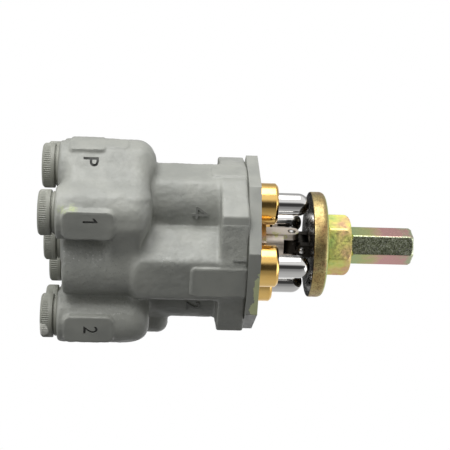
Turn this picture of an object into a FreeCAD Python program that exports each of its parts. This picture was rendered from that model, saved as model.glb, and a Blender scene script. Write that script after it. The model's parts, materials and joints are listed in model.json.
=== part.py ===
import FreeCAD, Part
import math
import os

import Sketcher

# Pilot control valve with a universal joint, four push rods and seven ports.
# +Z runs up along the lever stem, and the origin is the centre of the plate's top face.
# Rods 1, 2, 3 and 4 stand on the -Y, +X, +Y and -X sides. All lengths are in millimetres.

SIZES = {
    # Layout
    "rod_circle": 20.0,
    "work_port_offset": 25.7,
    "work_port_side": 23.6,
    "pressure_port_offset": 36.0,
    "running_gap": 0.05,
    # Octagonal top plate and its mounting holes
    "plate_thickness": 5.2,
    "plate_across_flats": 72.6,
    "plate_seat_radius": 9.9,
    "plate_seat_depth": 0.3,
    "mount_hole_offset": 21.0,
    "mount_hole_radius": 2.5,
    "mount_hole_depth": 15.0,
    # Casting
    "flange_width": 60.0,
    "flange_corner": 8.0,
    "flange_height": 11.8,
    "column_radius": 17.0,
    "column_reach": 34.8,
    "column_overlap": 7.5,
    "waist_height": 29.5,
    "waist_core_radius": 24.0,
    "pad_width": 14.5,
    "pad_reach": 35.8,
    "pad_drop": 24.0,
    "side_pad_width": 10.0,
    "side_pad_drop": 16.0,
    "port_block_height": 40.0,
    "port_core_radius": 26.0,
    "port_column_radius": 14.0,
    "web_half_thickness": 10.0,
    "inner_web_height": 13.0,
    "inner_web_drop": 4.5,
    "port_core_recess": 2.5,
    "shoulder_height": 7.0,
    "boss_radius": 11.0,
    "boss_shoulder": 8.0,
    "pressure_boss_rise": 1.5,
    "return_boss_rise": 8.5,
    "return_boss_shoulder": 4.0,
    "boss_edge": 1.5,
    "port_pad_width": 13.5,
    "port_pad_length": 23.5,
    "port_pad_proud": 0.4,
    "pressure_pad_lift": 4.5,
    "pressure_pad_width": 12.6,
    "pressure_pad_length": 15.0,
    "pressure_rib_width": 8.0,
    "pressure_rib_length": 25.0,
    # Ports, spool bores and oil passages
    "port_radius": 5.9,
    "port_depth": 14.0,
    "passage_radius": 2.2,
    "feed_radius": 3.0,
    "supply_gallery_lift": 22.5,
    "return_gallery_lift": 30.5,
    "work_gallery_lift": 9.5,
    "spool_bore_floor": 6.5,
    # Transport caps
    "cap_radius": 9.7,
    "cap_flange_radius": 9.0,
    "cap_neck_radius": 8.4,
    "cap_flange_height": 1.2,
    "cap_groove_height": 0.6,
    "cap_head_height": 5.4,
    "cap_end_chamfer": 0.9,
    "cap_shank_length": 10.0,
    "cap_shank_gap": 0.1,
    # Guide plugs, their O-rings and the rod seals
    "plug_radius": 9.2,
    "plug_height": 8.8,
    "plug_chamfer": 1.1,
    "plug_flange_radius": 11.0,
    "plug_flange_height": 3.0,
    "plug_shank_radius": 8.6,
    "plug_shank_length": 13.8,
    "plug_ring_radius": 1.2,
    "plug_ring_drop": 7.0,
    "seal_radius": 7.6,
    "seal_height": 3.2,
    "seal_drop": 0.7,
    # Push rods and spring retainers
    "rod_radius": 5.0,
    "rod_tip_height": 23.0,
    "rod_stop_radius": 7.0,
    "rod_stop_height": 2.0,
    "rod_recess_radius": 3.9,
    "rod_recess_depth": 9.0,
    "retainer_radius": 7.6,
    "retainer_height": 2.2,
    "retainer_hole": 2.3,
    "retainer_lip_height": 1.2,
    "retainer_lip_outer": 5.3,
    "retainer_lip_inner": 4.7,
    # Springs and their chamber
    "chamber_radius": 8.0,
    "chamber_depth": 46.0,
    "centering_radius": 6.4,
    "centering_wire": 0.8,
    "centering_pitch": 3.6,
    "metering_radius": 3.9,
    "metering_wire": 0.5,
    "metering_pitch": 2.0,
    "metering_length": 9.0,
    "spring_end_gap": 0.2,
    # Spools
    "spool_radius": 3.0,
    "spool_stem_radius": 2.0,
    "spool_head_radius": 3.3,
    "spool_head_height": 1.4,
    "spool_collar_radius": 4.8,
    "spool_collar_height": 1.2,
    "spool_groove_radius": 2.1,
    "spool_groove_height": 5.0,
    "spool_drain_radius": 1.2,
    "spool_drain_depth": 9.0,
    "spool_travel_room": 2.5,
    # Universal joint
    "base_hex_across": 17.0,
    "base_hex_height": 4.6,
    "thread_runout": 1.0,
    "base_shank_radius": 6.0,
    "base_shank_length": 17.0,
    "yoke_radius": 6.5,
    "yoke_slot": 3.6,
    "yoke_floor": 12.6,
    "ear_half_width": 3.2,
    "upper_ear_half_width": 2.9,
    "cross_half_length": 3.4,
    "cross_lower_radius": 3.4,
    "cross_upper_radius": 2.8,
    "pin_radius": 1.8,
    "pin_half_length": 6.9,
    "pin_dome": 0.8,
    "lower_pin_height": 16.4,
    "pin_spacing": 4.5,
    # Disc, nut and lever stem
    "disc_height": 24.0,
    "disc_thickness": 6.8,
    "disc_radius": 23.7,
    "disc_chamfer": 0.8,
    "stud_radius": 7.0,
    "nut_across_flats": 24.0,
    "nut_height": 11.8,
    "nut_collar_radius": 12.6,
    "nut_collar_height": 1.6,
    "nut_chamfer": 1.8,
    "stem_across_flats": 14.6,
    "stem_length": 28.4,
    "stem_chamfer": 1.1,
    "stem_stud_radius": 5.0,
    "stem_stud_length": 11.0,
    "lever_thread_radius": 4.25,
    "lever_thread_depth": 14.0,
}

RODS = {1: (0, -1), 2: (1, 0), 3: (0, 1), 4: (-1, 0)}
WORK_PORTS = {1: (-1, -1), 2: (1, -1), 3: (1, 1), 4: (-1, 1)}
OCTAGON_TURN = 22.5
NUT_TURN = 30.0

doc = FreeCAD.newDocument("PilotControlValve")
sheet = doc.addObject("Spreadsheet::Sheet", "Sizes")
for row, (alias, number) in enumerate(SIZES.items(), start=1):
    sheet.set("A%d" % row, alias.replace("_", " "))
    sheet.set("B%d" % row, str(number))
    sheet.setAlias("B%d" % row, alias)
doc.recompute()


class Formula:
    """A length that keeps its number and its expression on the sheet together."""

    def __init__(self, number, text):
        self.number = number
        self.text = text

    def join(self, other, sign, number, swapped=False):
        text = other.text if isinstance(other, Formula) else "%.12g" % other
        first, second = (text, self.text) if swapped else (self.text, text)
        return Formula(number, "(%s %s %s)" % (first, sign, second))

    def __add__(self, other):
        return self.join(other, "+", self.number + plain(other))

    def __radd__(self, other):
        return self.join(other, "+", plain(other) + self.number, True)

    def __sub__(self, other):
        return self.join(other, "-", self.number - plain(other))

    def __rsub__(self, other):
        return self.join(other, "-", plain(other) - self.number, True)

    def __mul__(self, other):
        return self.join(other, "*", self.number * plain(other))

    def __rmul__(self, other):
        return self.join(other, "*", plain(other) * self.number, True)

    def __truediv__(self, other):
        return self.join(other, "/", self.number / plain(other))

    def __neg__(self):
        return self * -1


def plain(value):
    """The number of a formula, or the number itself."""
    return value.number if isinstance(value, Formula) else float(value)


def size(alias):
    """A driving dimension of the sheet as a formula."""
    return Formula(float(sheet.get(alias)), "Sizes.%s" % alias)


def bind(thing, prop, value):
    """Set a property to a number, or tie it to the sheet."""
    if isinstance(value, Formula):
        thing.setExpression(prop, value.text)
    elif "." in prop:
        thing.setExpression(prop, "%.12g" % value)
    else:
        setattr(thing, prop, value)


def place(thing, at=(0, 0, 0), turn=None):
    """Put an object at a point, turned about one axis by an angle in degrees."""
    if turn:
        axis, angle = turn
        thing.Placement = FreeCAD.Placement(FreeCAD.Vector(), FreeCAD.Rotation(FreeCAD.Vector(*axis), angle))
    for letter, value in zip("xyz", at):
        bind(thing, "Placement.Base.%s" % letter, value)
    return thing


def primitive(kind, name, at=(0, 0, 0), turn=None, **sizes):
    """A Part primitive with its sizes tied to the sheet."""
    thing = doc.addObject("Part::" + kind, name)
    for prop, value in sizes.items():
        bind(thing, prop, value)
    return place(thing, at, turn)


def cylinder(name, radius, height, at=(0, 0, 0), turn=None):
    return primitive("Cylinder", name, at, turn, Radius=radius, Height=height)


def block(name, corner, length, width, height):
    """A box from its lowest corner."""
    return primitive("Box", name, corner, None, Length=length, Width=width, Height=height)


def hexagon(name, across, height, at, sides=6, turn_angle=0.0):
    """A regular prism from its width across flats."""
    circumradius = across / (2 * math.cos(math.pi / sides))
    turn = ((0, 0, 1), turn_angle)
    return primitive("Prism", name, at, turn, Polygon=sides, Circumradius=circumradius, Height=height)


def fuse(name, things):
    thing = doc.addObject("Part::MultiFuse", name)
    thing.Shapes = things
    return thing


def common(name, first, second):
    thing = doc.addObject("Part::Common", name)
    thing.Base = first
    thing.Tool = second
    return thing


def cut(name, base, *groups):
    """Take groups of tools away from a base, one group after another.

    The tools of one group lie apart from each other or are single.
    """
    for number, tools in enumerate(groups, start=1):
        last = number == len(groups)
        thing = doc.addObject("Part::Cut", name if last else "%s_step_%d" % (name, number))
        thing.Base = base
        thing.Tool = tools[0] if len(tools) == 1 else fuse("%s_tools_%d" % (name, number), tools)
        base = thing
    return base


def turned(name, outline, at=(0, 0, 0), turn=None):
    """A turned piece: a closed half section, revolved about its own Z axis.

    Each corner is (radius, height). A corner with a third item, "dome", starts an arc
    to the next corner, with its centre on the axis, or at the given (radius, height).
    """
    body = doc.addObject("PartDesign::Body", name)
    sketch = body.newObject("Sketcher::SketchObject", name + "_section")
    plane = [item for item in body.Origin.OriginFeatures if item.Role == "XZ_Plane"][0]
    sketch.AttachmentSupport = [(plane, "")]
    sketch.MapMode = "FlatFace"
    for index, corner in enumerate(outline):
        after = outline[(index + 1) % len(outline)]
        start = FreeCAD.Vector(plain(corner[0]), plain(corner[1]), 0)
        end = FreeCAD.Vector(plain(after[0]), plain(after[1]), 0)
        if len(corner) == 3:
            sketch.addGeometry(arc_between(start, end, corner[2]), False)
        else:
            sketch.addGeometry(Part.LineSegment(start, end), False)
    for index, corner in enumerate(outline):
        pin_corner(sketch, index, 0, corner[0])
        pin_corner(sketch, index, 1, corner[1])
        sketch.addConstraint(Sketcher.Constraint("Coincident", index, 2, (index + 1) % len(outline), 1))
        if len(corner) == 3 and corner[2] == "dome":
            sketch.addConstraint(Sketcher.Constraint("PointOnObject", index, 3, -2))
        elif len(corner) == 3:
            pin_corner(sketch, index, 0, corner[2][0], 3)
    revolution = body.newObject("PartDesign::Revolution", name + "_turning")
    revolution.Profile = sketch
    revolution.ReferenceAxis = (sketch, ["V_Axis"])
    revolution.Angle = 360.0
    return place(body, at, turn)


def arc_between(start, end, kind):
    """The arc from start round to end, anticlockwise."""
    if kind == "dome":
        rise = (end.x ** 2 - start.x ** 2 + end.y ** 2 - start.y ** 2) / (2 * (end.y - start.y))
        centre = FreeCAD.Vector(0, rise, 0)
    else:
        centre = FreeCAD.Vector(plain(kind[0]), plain(kind[1]), 0)
    circle = Part.Circle(centre, FreeCAD.Vector(0, 0, 1), centre.distanceToPoint(start))
    first = math.atan2(start.y - centre.y, start.x - centre.x)
    last = math.atan2(end.y - centre.y, end.x - centre.x)
    return Part.ArcOfCircle(circle, first, last)


def pin_corner(sketch, index, direction, value, point=1):
    """Hold one coordinate of a sketch point, on an axis or at a tied distance."""
    if plain(value) == 0:
        axis = -2 if direction == 0 else -1
        sketch.addConstraint(Sketcher.Constraint("PointOnObject", index, point, axis))
        return
    kind = "DistanceX" if direction == 0 else "DistanceY"
    number = sketch.addConstraint(Sketcher.Constraint(kind, -1, 1, index, point, plain(value)))
    if isinstance(value, Formula):
        sketch.setExpression("Constraints[%d]" % number, value.text)


def coil(name, radius, wire, pitch, height, at):
    """A helical spring, standing on its lower end and swept one turn at a time."""
    helix = doc.addObject("Part::Helix", name + "_path")
    bind(helix, "Pitch", pitch)
    bind(helix, "Height", height)
    bind(helix, "Radius", radius)
    helix.SegmentLength = 1
    helix.recompute()
    section = doc.addObject("Part::Circle", name + "_wire")
    bind(section, "Radius", wire)
    place(section, (radius, 0, 0), ((1, 0, 0), 90.0))
    spring = doc.addObject("Part::Sweep", name)
    spring.Sections = [section]
    spring.Spine = (helix, ["Edge%d" % (turn + 1) for turn in range(len(helix.Shape.Edges))])
    spring.Solid = True
    spring.Frenet = True
    return place(spring, at)


def at_rod(number, height):
    """A point on a push rod's axis."""
    x, y = RODS[number]
    return (size("rod_circle") * x, size("rod_circle") * y, height)


def port_places():
    """The name and the axis of every port on the underside."""
    offset = size("pressure_port_offset")
    places = {"p": (-offset, 0), "t": (offset, 0), "center": (0, 0)}
    for number, (x, y) in WORK_PORTS.items():
        places[str(number)] = (size("work_port_offset") * x, size("work_port_side") * y)
    return places


# Heights that several pieces share, all measured from the plate's top face.
GAP = size("running_gap")
BLOCK_TOP = -size("plate_thickness")
FLANGE_BOTTOM = BLOCK_TOP - size("flange_height")
WAIST_BOTTOM = FLANGE_BOTTOM - size("waist_height")
BODY_BOTTOM = WAIST_BOTTOM - size("port_block_height")
SPOOL_FLOOR = BODY_BOTTOM + size("spool_bore_floor")
CHAMBER_FLOOR = BLOCK_TOP - size("chamber_depth")
PLUG_SHOULDER = BLOCK_TOP - size("plug_flange_height")
PLUG_BOTTOM = PLUG_SHOULDER - size("plug_shank_length")
ROD_BOTTOM = PLUG_BOTTOM - size("rod_stop_height")
RETAINER_BOTTOM = ROD_BOTTOM - size("retainer_height")
METERING_FLOOR = RETAINER_BOTTOM - size("metering_length") - size("spring_end_gap") * 2
UPPER_PIN = size("lower_pin_height") + size("pin_spacing")
NUT_BOTTOM = size("disc_height") + size("disc_thickness")
NUT_TOP = NUT_BOTTOM + size("nut_height")
STEM_TOP = NUT_TOP + size("stem_length")


def flange_block():
    """The square head of the casting, with rounded upright corners."""
    width, corner = size("flange_width"), size("flange_corner")
    half, short = width / 2, width - corner * 2
    height = size("flange_height")
    inset = half - corner
    pieces = [
        block("flange_wide", (-half, -inset, FLANGE_BOTTOM), width, short, height),
        block("flange_deep", (-inset, -half, FLANGE_BOTTOM), short, width, height),
    ]
    for number, (x, y) in WORK_PORTS.items():
        at = (inset * x, inset * y, FLANGE_BOTTOM)
        pieces.append(cylinder("flange_corner_%d" % number, corner, height, at))
    return pieces


def columns():
    """Four round columns with flat outer faces, which hold the spools, and a pad on each face."""
    bottom, face = WAIST_BOTTOM - size("column_overlap"), size("column_reach")
    height = BLOCK_TOP - bottom
    rounds = [cylinder("column_%d" % number, size("column_radius"), height, at_rod(number, bottom)) for number in RODS]
    faces = block("column_faces", (-face, -face, bottom), face * 2, face * 2, height)
    core = cylinder("waist_core", size("waist_core_radius"), BLOCK_TOP - WAIST_BOTTOM, (0, 0, WAIST_BOTTOM))
    pieces = [core, common("flat_columns", fuse("round_columns", rounds), faces)]
    for number, (x, y) in RODS.items():
        pieces.append(column_pad(number, x, y))
    return pieces


def column_pad(number, x, y):
    """The pad near the top of one column's face. It is smaller on the X sides."""
    prefix = "side_pad" if x else "pad"
    half, drop = size(prefix + "_width") / 2, size(prefix + "_drop")
    reach, depth, low = size("pad_reach"), size("column_radius"), BLOCK_TOP - drop
    near = reach - depth if x + y > 0 else -reach
    if x:
        return block("column_pad_%d" % number, (near, -half, low), depth, half * 2, drop)
    return block("column_pad_%d" % number, (-half, near, low), half * 2, depth, drop)


def port_boss(name, at):
    """One round boss with a rounded shoulder, drawn from the casting's underside up."""
    radius, height = size("boss_radius"), size("port_block_height")
    shoulder, edge = size("boss_shoulder"), size("boss_edge")
    if name == "p":
        height = height + size("pressure_boss_rise")
    if name == "t":
        height = height + size("return_boss_rise")
        shoulder = size("return_boss_shoulder")
    outline = [
        (0, 0),
        (radius - edge, 0),
        (radius, edge),
        (radius, height - shoulder, (radius - shoulder, height - shoulder)),
        (radius - shoulder, height),
        (0, height),
    ]
    return turned("boss_" + name, outline, (at[0], at[1], BODY_BOTTOM))


def port_pads():
    """The flat faces on the bosses, where the port marks stand."""
    half, length = size("port_pad_width") / 2, size("port_pad_length")
    depth = size("boss_radius")
    pieces = []
    for number, (x, y) in WORK_PORTS.items():
        reach = size("work_port_side") + size("boss_radius") + size("port_pad_proud")
        corner = (size("work_port_offset") * x - half, reach - depth if y > 0 else -reach, BODY_BOTTOM)
        pieces.append(block("port_pad_%d" % number, corner, half * 2, depth, length))
    reach = size("pressure_port_offset") + size("boss_radius") + size("port_pad_proud")
    lift = BODY_BOTTOM + size("pressure_pad_lift")
    for name, low in (("p", -reach), ("t", reach - depth)):
        for kind in ("pad", "rib"):
            half = size("pressure_%s_width" % kind) / 2
            length = size("pressure_%s_length" % kind)
            pieces.append(block("port_%s_%s" % (kind, name), (low, -half, lift), depth, half * 2, length))
    return pieces


def wall(name, start, end, low, high):
    """An upright wall from one axis to another, almost flush with the bosses' outer sides."""
    across, along = plain(end[0] - start[0]), plain(end[1] - start[1])
    angle = math.atan2(along, across)
    half = size("web_half_thickness")
    corner = (start[0] + half * math.sin(angle), start[1] - half * math.cos(angle), low)
    turn = ((0, 0, 1), math.degrees(angle))
    return primitive("Box", name, corner, turn, Length=math.hypot(across, along), Width=half * 2, Height=high - low)


def boss_walls():
    """The walls between neighbouring bosses, and two short ones from a boss to a column."""
    ports = port_places()
    low = BODY_BOTTOM + size("boss_edge")
    high = WAIST_BOTTOM - size("boss_shoulder")
    walls = [
        wall("boss_web_%s_%s" % pair, ports[pair[0]], ports[pair[1]], low, high)
        for pair in (("p", "1"), ("4", "p"), ("2", "t"), ("t", "3"))
    ]
    high = WAIST_BOTTOM - size("inner_web_drop")
    for number in (1, 3):
        name = "column_web_%d" % number
        walls.append(wall(name, ports[str(number)], at_rod(number, high), high - size("inner_web_height"), high))
    return walls


def port_block():
    """The lower half of the casting: a core, four columns, six bosses and their webs."""
    recess, height = size("port_core_recess"), size("port_block_height")
    core = cylinder("port_core", size("port_core_radius"), height - recess, (0, 0, BODY_BOTTOM + recess))
    lower_columns = [
        cylinder("port_column_%d" % number, size("port_column_radius"), height - recess,
                 at_rod(number, BODY_BOTTOM + recess))
        for number in RODS
    ]
    shoulder = primitive(
        "Cone", "port_shoulder", (0, 0, WAIST_BOTTOM), None,
        Radius1=size("port_core_radius"), Radius2=size("waist_core_radius"), Height=size("shoulder_height"))
    hub = cylinder("port_hub", size("boss_radius"), recess * 2, (0, 0, BODY_BOTTOM))
    bosses = [port_boss(name, at) for name, at in port_places().items() if name != "center"]
    return [core, shoulder, hub] + lower_columns + boss_walls() + bosses + port_pads()


def level_cylinder(name, radius, start, length, toward):
    """A cylinder that lies level, from a point along a direction in the plane."""
    across = FreeCAD.Rotation(FreeCAD.Vector(0, 0, 1), FreeCAD.Vector(toward[0], toward[1], 0))
    axis = across.Axis
    turn = ((axis.x, axis.y, axis.z), math.degrees(across.Angle))
    return cylinder(name, radius, length, start, turn)


def spool_bore(number):
    """The stepped bore of one column, from the spool's blind end up to the plug's flange."""
    spool_wall, chamber = size("spool_radius") + GAP, size("chamber_radius")
    shank, flange = size("plug_shank_radius") + GAP, size("plug_flange_radius") + GAP
    outline = [
        (0, 0),
        (spool_wall, 0),
        (spool_wall, CHAMBER_FLOOR - SPOOL_FLOOR),
        (chamber, CHAMBER_FLOOR - SPOOL_FLOOR),
        (chamber, PLUG_BOTTOM - SPOOL_FLOOR),
        (shank, PLUG_BOTTOM - SPOOL_FLOOR),
        (shank, PLUG_SHOULDER - SPOOL_FLOOR),
        (flange, PLUG_SHOULDER - SPOOL_FLOOR),
        (flange, BLOCK_TOP - SPOOL_FLOOR),
        (0, BLOCK_TOP - SPOOL_FLOOR),
    ]
    return turned("spool_bore_%d" % number, outline, at_rod(number, SPOOL_FLOOR))


def port_bores():
    """The seven ports, each a blind threaded hole in the underside."""
    tools = []
    for name, (x, y) in port_places().items():
        tools.append(cylinder("port_bore_" + name, size("port_radius"), size("port_depth"), (x, y, BODY_BOTTOM)))
    return tools


def galleries():
    """The oil ways: two rings through the spool bores, three feeds and four outlets.

    They come as groups, and the drillings of one group do not meet.
    """
    side = size("rod_circle") * math.sqrt(2)
    feed, bore = size("feed_radius"), size("passage_radius")
    supply = BODY_BOTTOM + size("supply_gallery_lift")
    drain = BODY_BOTTOM + size("return_gallery_lift")
    outlet = BODY_BOTTOM + size("work_gallery_lift")
    ports = port_places()
    rings, outlets, risers, feeds = ([], []), [], [], []
    for number, (x, y) in RODS.items():
        for name, level in (("supply", supply), ("return", drain)):
            ring = level_cylinder("%s_ring_%d" % (name, number), bore, at_rod(number, level), side,
                                  (-x - y, x - y))
            rings[number % 2].append(ring)
        port_x, port_y = WORK_PORTS[number]
        toward = (port_x, 0) if x == 0 else (0, port_y)
        reach = size("work_port_offset" if x == 0 else "work_port_side") + bore
        outlets.append(level_cylinder("outlet_%d" % number, bore, at_rod(number, outlet), reach, toward))
    for name, level, toward in (("p", supply, (-1, 0)), ("t", drain, (1, 0)), ("center", drain, (1, 0))):
        x, y = ports[name]
        risers.append(cylinder("riser_" + name, feed, level - BODY_BOTTOM + feed, (x, y, BODY_BOTTOM)))
        reach = size("rod_circle") if name == "center" else size("pressure_port_offset") - size("rod_circle")
        start = (0, 0, level) if name == "center" else (size("rod_circle") * toward[0], 0, level)
        feeds.append(level_cylinder("feed_" + name, bore, start, reach, toward))
    return [rings[0], rings[1], outlets, risers, feeds[:1], feeds[1:2], feeds[2:]]


def mounting_holes(prefix):
    """The four tapped holes on the diagonals, as tools from above the plate down."""
    depth = size("mount_hole_depth")
    offset = size("mount_hole_offset")
    tools = []
    for number, (x, y) in WORK_PORTS.items():
        at = (offset * x, offset * y, -depth)
        tools.append(cylinder("%s_mount_%d" % (prefix, number), size("mount_hole_radius"), depth, at))
    return tools


def valve_body():
    """The grey casting."""
    casting = fuse("casting", flange_block() + columns() + port_block())
    shank_depth = size("base_shank_length") - size("plate_thickness") + size("thread_runout")
    shank = cylinder("joint_thread", size("base_shank_radius") + GAP, shank_depth, (0, 0, BLOCK_TOP - shank_depth))
    bores = [spool_bore(number) for number in RODS]
    return cut("valve_body", casting, bores, port_bores(), mounting_holes("body") + [shank], *galleries())


def top_plate():
    """The octagonal plate that holds the guide plugs down, spot-faced for the joint base."""
    thickness, sunk = size("plate_thickness"), size("plate_seat_depth")
    slab = hexagon("plate_slab", size("plate_across_flats"), thickness, (0, 0, BLOCK_TOP), 8, OCTAGON_TURN)
    tools = [cylinder("plate_center", size("base_shank_radius") + GAP, thickness, (0, 0, BLOCK_TOP))]
    for number in RODS:
        name = "plate_bore_%d" % number
        tools.append(cylinder(name, size("plug_radius") + GAP, thickness, at_rod(number, BLOCK_TOP)))
    seat = cylinder("plate_seat", size("plate_seat_radius"), sunk, (0, 0, -sunk))
    return cut("top_plate", slab, tools, mounting_holes("plate") + [seat])


def transport_cap(name, at):
    """A screwed plastic cap with a round head, drawn from its free end up."""
    head, groove, flange = size("cap_head_height"), size("cap_groove_height"), size("cap_flange_height")
    chamfer = size("cap_end_chamfer")
    shank = size("port_radius") - size("cap_shank_gap")
    seat = head + groove + flange
    top = seat + size("cap_shank_length")
    outline = [
        (0, 0),
        (size("cap_radius") - chamfer, 0),
        (size("cap_radius"), chamfer),
        (size("cap_radius"), head),
        (size("cap_neck_radius"), head),
        (size("cap_neck_radius"), head + groove),
        (size("cap_flange_radius"), head + groove),
        (size("cap_flange_radius"), seat),
        (shank, seat),
        (shank, top - chamfer),
        (shank - chamfer, top),
        (0, top),
    ]
    return turned("port_cap_" + name, outline, (at[0], at[1], BODY_BOTTOM - seat))


def guide_plug(number):
    """A brass plug that guides one push rod, drawn from its lower end up."""
    bore, shank = size("rod_radius") + GAP, size("plug_shank_radius")
    ring = size("plug_ring_radius")
    groove_radius = shank - ring * 2 - GAP
    groove_center = size("plug_shank_length") - size("plug_ring_drop")
    shoulder = size("plug_shank_length")
    flange_top = shoulder + size("plug_flange_height")
    top = size("plug_height") - PLUG_BOTTOM
    seal_seat = top - size("seal_drop") - size("seal_height")
    outline = [
        (bore, 0),
        (shank, 0),
        (shank, groove_center - ring - GAP),
        (groove_radius, groove_center - ring - GAP),
        (groove_radius, groove_center + ring + GAP),
        (shank, groove_center + ring + GAP),
        (shank, shoulder),
        (size("plug_flange_radius"), shoulder),
        (size("plug_flange_radius"), flange_top),
        (size("plug_radius"), flange_top),
        (size("plug_radius"), top - size("plug_chamfer")),
        (size("plug_radius") - size("plug_chamfer"), top),
        (size("seal_radius"), top),
        (size("seal_radius"), seal_seat),
        (bore, seal_seat),
    ]
    return turned("guide_plug_%d" % number, outline, at_rod(number, PLUG_BOTTOM))


def plug_ring(number):
    """The O-ring in a guide plug's groove."""
    ring = size("plug_ring_radius")
    at = at_rod(number, PLUG_SHOULDER - size("plug_ring_drop"))
    return primitive("Torus", "plug_o_ring_%d" % number, at, None,
                     Radius1=size("plug_shank_radius") - ring, Radius2=ring)


def rod_seal(number):
    """The wiper in the mouth of a guide plug."""
    bore, height = size("rod_radius") + GAP, size("seal_height")
    outer = size("seal_radius") - GAP
    lip = (outer - bore) / 2
    outline = [(bore, 0), (outer, 0), (outer, height - lip), (bore + lip, height), (bore, height)]
    seat = size("plug_height") - size("seal_drop") - height
    return turned("rod_seal_%d" % number, outline, at_rod(number, seat))


def push_rod(number):
    """A polished rod with a round tip, a stop and a hollow foot for the spool's head."""
    radius, stop = size("rod_radius"), size("rod_stop_radius")
    length = size("rod_tip_height") - ROD_BOTTOM
    hollow, depth = size("rod_recess_radius"), size("rod_recess_depth")
    outline = [
        (hollow, 0),
        (stop, 0),
        (stop, size("rod_stop_height")),
        (radius, size("rod_stop_height")),
        (radius, length - radius, "dome"),
        (0, length),
        (0, depth),
        (hollow, depth),
    ]
    return turned("push_rod_%d" % number, outline, at_rod(number, ROD_BOTTOM))


def spring_retainer(number):
    """The lipped washer that both springs push against."""
    lip, plate = size("retainer_lip_height"), size("retainer_height")
    inner, outer = size("retainer_lip_inner"), size("retainer_lip_outer")
    hole, rim = size("retainer_hole"), size("retainer_radius")
    outline = [
        (inner, 0), (outer, 0), (outer, lip), (rim, lip),
        (rim, lip + plate), (hole, lip + plate), (hole, lip), (inner, lip),
    ]
    return turned("spring_retainer_%d" % number, outline, at_rod(number, RETAINER_BOTTOM - lip))


def centering_spring(number):
    """The outer spring, from the chamber's floor up to the retainer."""
    wire, gap = size("centering_wire"), size("spring_end_gap")
    length = RETAINER_BOTTOM - CHAMBER_FLOOR - (wire + gap) * 2
    return coil("centering_spring_%d" % number, size("centering_radius"), wire, size("centering_pitch"),
                length, at_rod(number, CHAMBER_FLOOR + wire + gap))


def metering_spring(number):
    """The inner spring, from the spool's collar up to the retainer."""
    wire, gap = size("metering_wire"), size("spring_end_gap")
    length = RETAINER_BOTTOM - METERING_FLOOR - (wire + gap) * 2
    return coil("metering_spring_%d" % number, size("metering_radius"), wire, size("metering_pitch"),
                length, at_rod(number, METERING_FLOOR + wire + gap))


def spool(number):
    """The metering spool: a grooved land, a collar, a thin stem and a head."""
    bottom = SPOOL_FLOOR + size("spool_travel_room")
    collar = METERING_FLOOR - size("spool_collar_height") - bottom
    groove = BODY_BOTTOM + size("supply_gallery_lift") - bottom
    half_groove = size("spool_groove_height") / 2
    head = ROD_BOTTOM + GAP - bottom
    radius, waist = size("spool_radius"), size("spool_groove_radius")
    stem, drain = size("spool_stem_radius"), size("spool_drain_radius")
    outline = [
        (drain, 0),
        (radius, 0),
        (radius, groove - half_groove),
        (waist, groove - half_groove),
        (waist, groove + half_groove),
        (radius, groove + half_groove),
        (radius, collar),
        (size("spool_collar_radius"), collar),
        (size("spool_collar_radius"), collar + size("spool_collar_height")),
        (stem, collar + size("spool_collar_height")),
        (stem, head),
        (size("spool_head_radius"), head),
        (size("spool_head_radius"), head + size("spool_head_height")),
        (0, head + size("spool_head_height")),
        (0, size("spool_drain_depth")),
        (drain, size("spool_drain_depth")),
    ]
    return turned("spool_%d" % number, outline, at_rod(number, bottom))


def joint_base():
    """The lower yoke: a threaded shank and hexagon that clamp the plate, and two ears."""
    radius, half = size("yoke_radius"), size("ear_half_width")
    floor, pin = size("yoke_floor"), size("lower_pin_height")
    shank_length = size("base_shank_length")
    sunk = size("plate_seat_depth")
    shank = cylinder("base_shank", size("base_shank_radius"), shank_length, (0, 0, -shank_length))
    hexed = hexagon("base_hexagon", size("base_hex_across"), size("base_hex_height") + sunk, (0, 0, -sunk))
    neck = cylinder("base_neck", radius, floor, (0, 0, 0))
    cheeks = block("base_cheeks", (-radius, -half, 0), radius * 2, half * 2, pin)
    rounds = level_cylinder("base_rounds", half, (-radius, 0, pin), radius * 2, (1, 0))
    slot_half, slot_height = size("yoke_slot"), pin + half - floor
    slot = block("base_slot", (-slot_half, -radius, floor), slot_half * 2, radius * 2, slot_height)
    bore = level_cylinder("base_pin_bore", size("pin_radius") + GAP, (-radius, 0, pin), radius * 2, (1, 0))
    return cut("joint_base", fuse("base_form", [shank, hexed, neck, cheeks, rounds]), [slot], [bore])


def cross():
    """The block between the two yokes, with a bore for each pin."""
    half, low, high = size("cross_half_length"), size("cross_lower_radius"), size("cross_upper_radius")
    pin, spacing = size("lower_pin_height"), size("pin_spacing")
    form = fuse("cross_form", [
        level_cylinder("cross_lower", low, (-half, 0, pin), half * 2, (1, 0)),
        level_cylinder("cross_upper", high, (0, -half, UPPER_PIN), half * 2, (0, 1)),
        block("cross_web", (-high, -half, pin), high * 2, half * 2, spacing),
    ])
    bore = size("pin_radius") + GAP
    lower_bore = level_cylinder("cross_lower_bore", bore, (-half, 0, pin), half * 2, (1, 0))
    upper_bore = level_cylinder("cross_upper_bore", bore, (0, -half, UPPER_PIN), half * 2, (0, 1))
    return cut("cross", form, [lower_bore, upper_bore])


def joint_pin(name, height, turn):
    """A pin with two slightly domed ends, laid level through the joint."""
    radius, half, dome = size("pin_radius"), size("pin_half_length"), size("pin_dome")
    length = half * 2
    outline = [
        (0, 0, "dome"),
        (radius, dome),
        (radius, length - dome, "dome"),
        (0, length),
    ]
    start = (-half, 0, height) if turn[0] == (0, 1, 0) else (0, -half, height)
    return turned(name, outline, start, turn)


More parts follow.
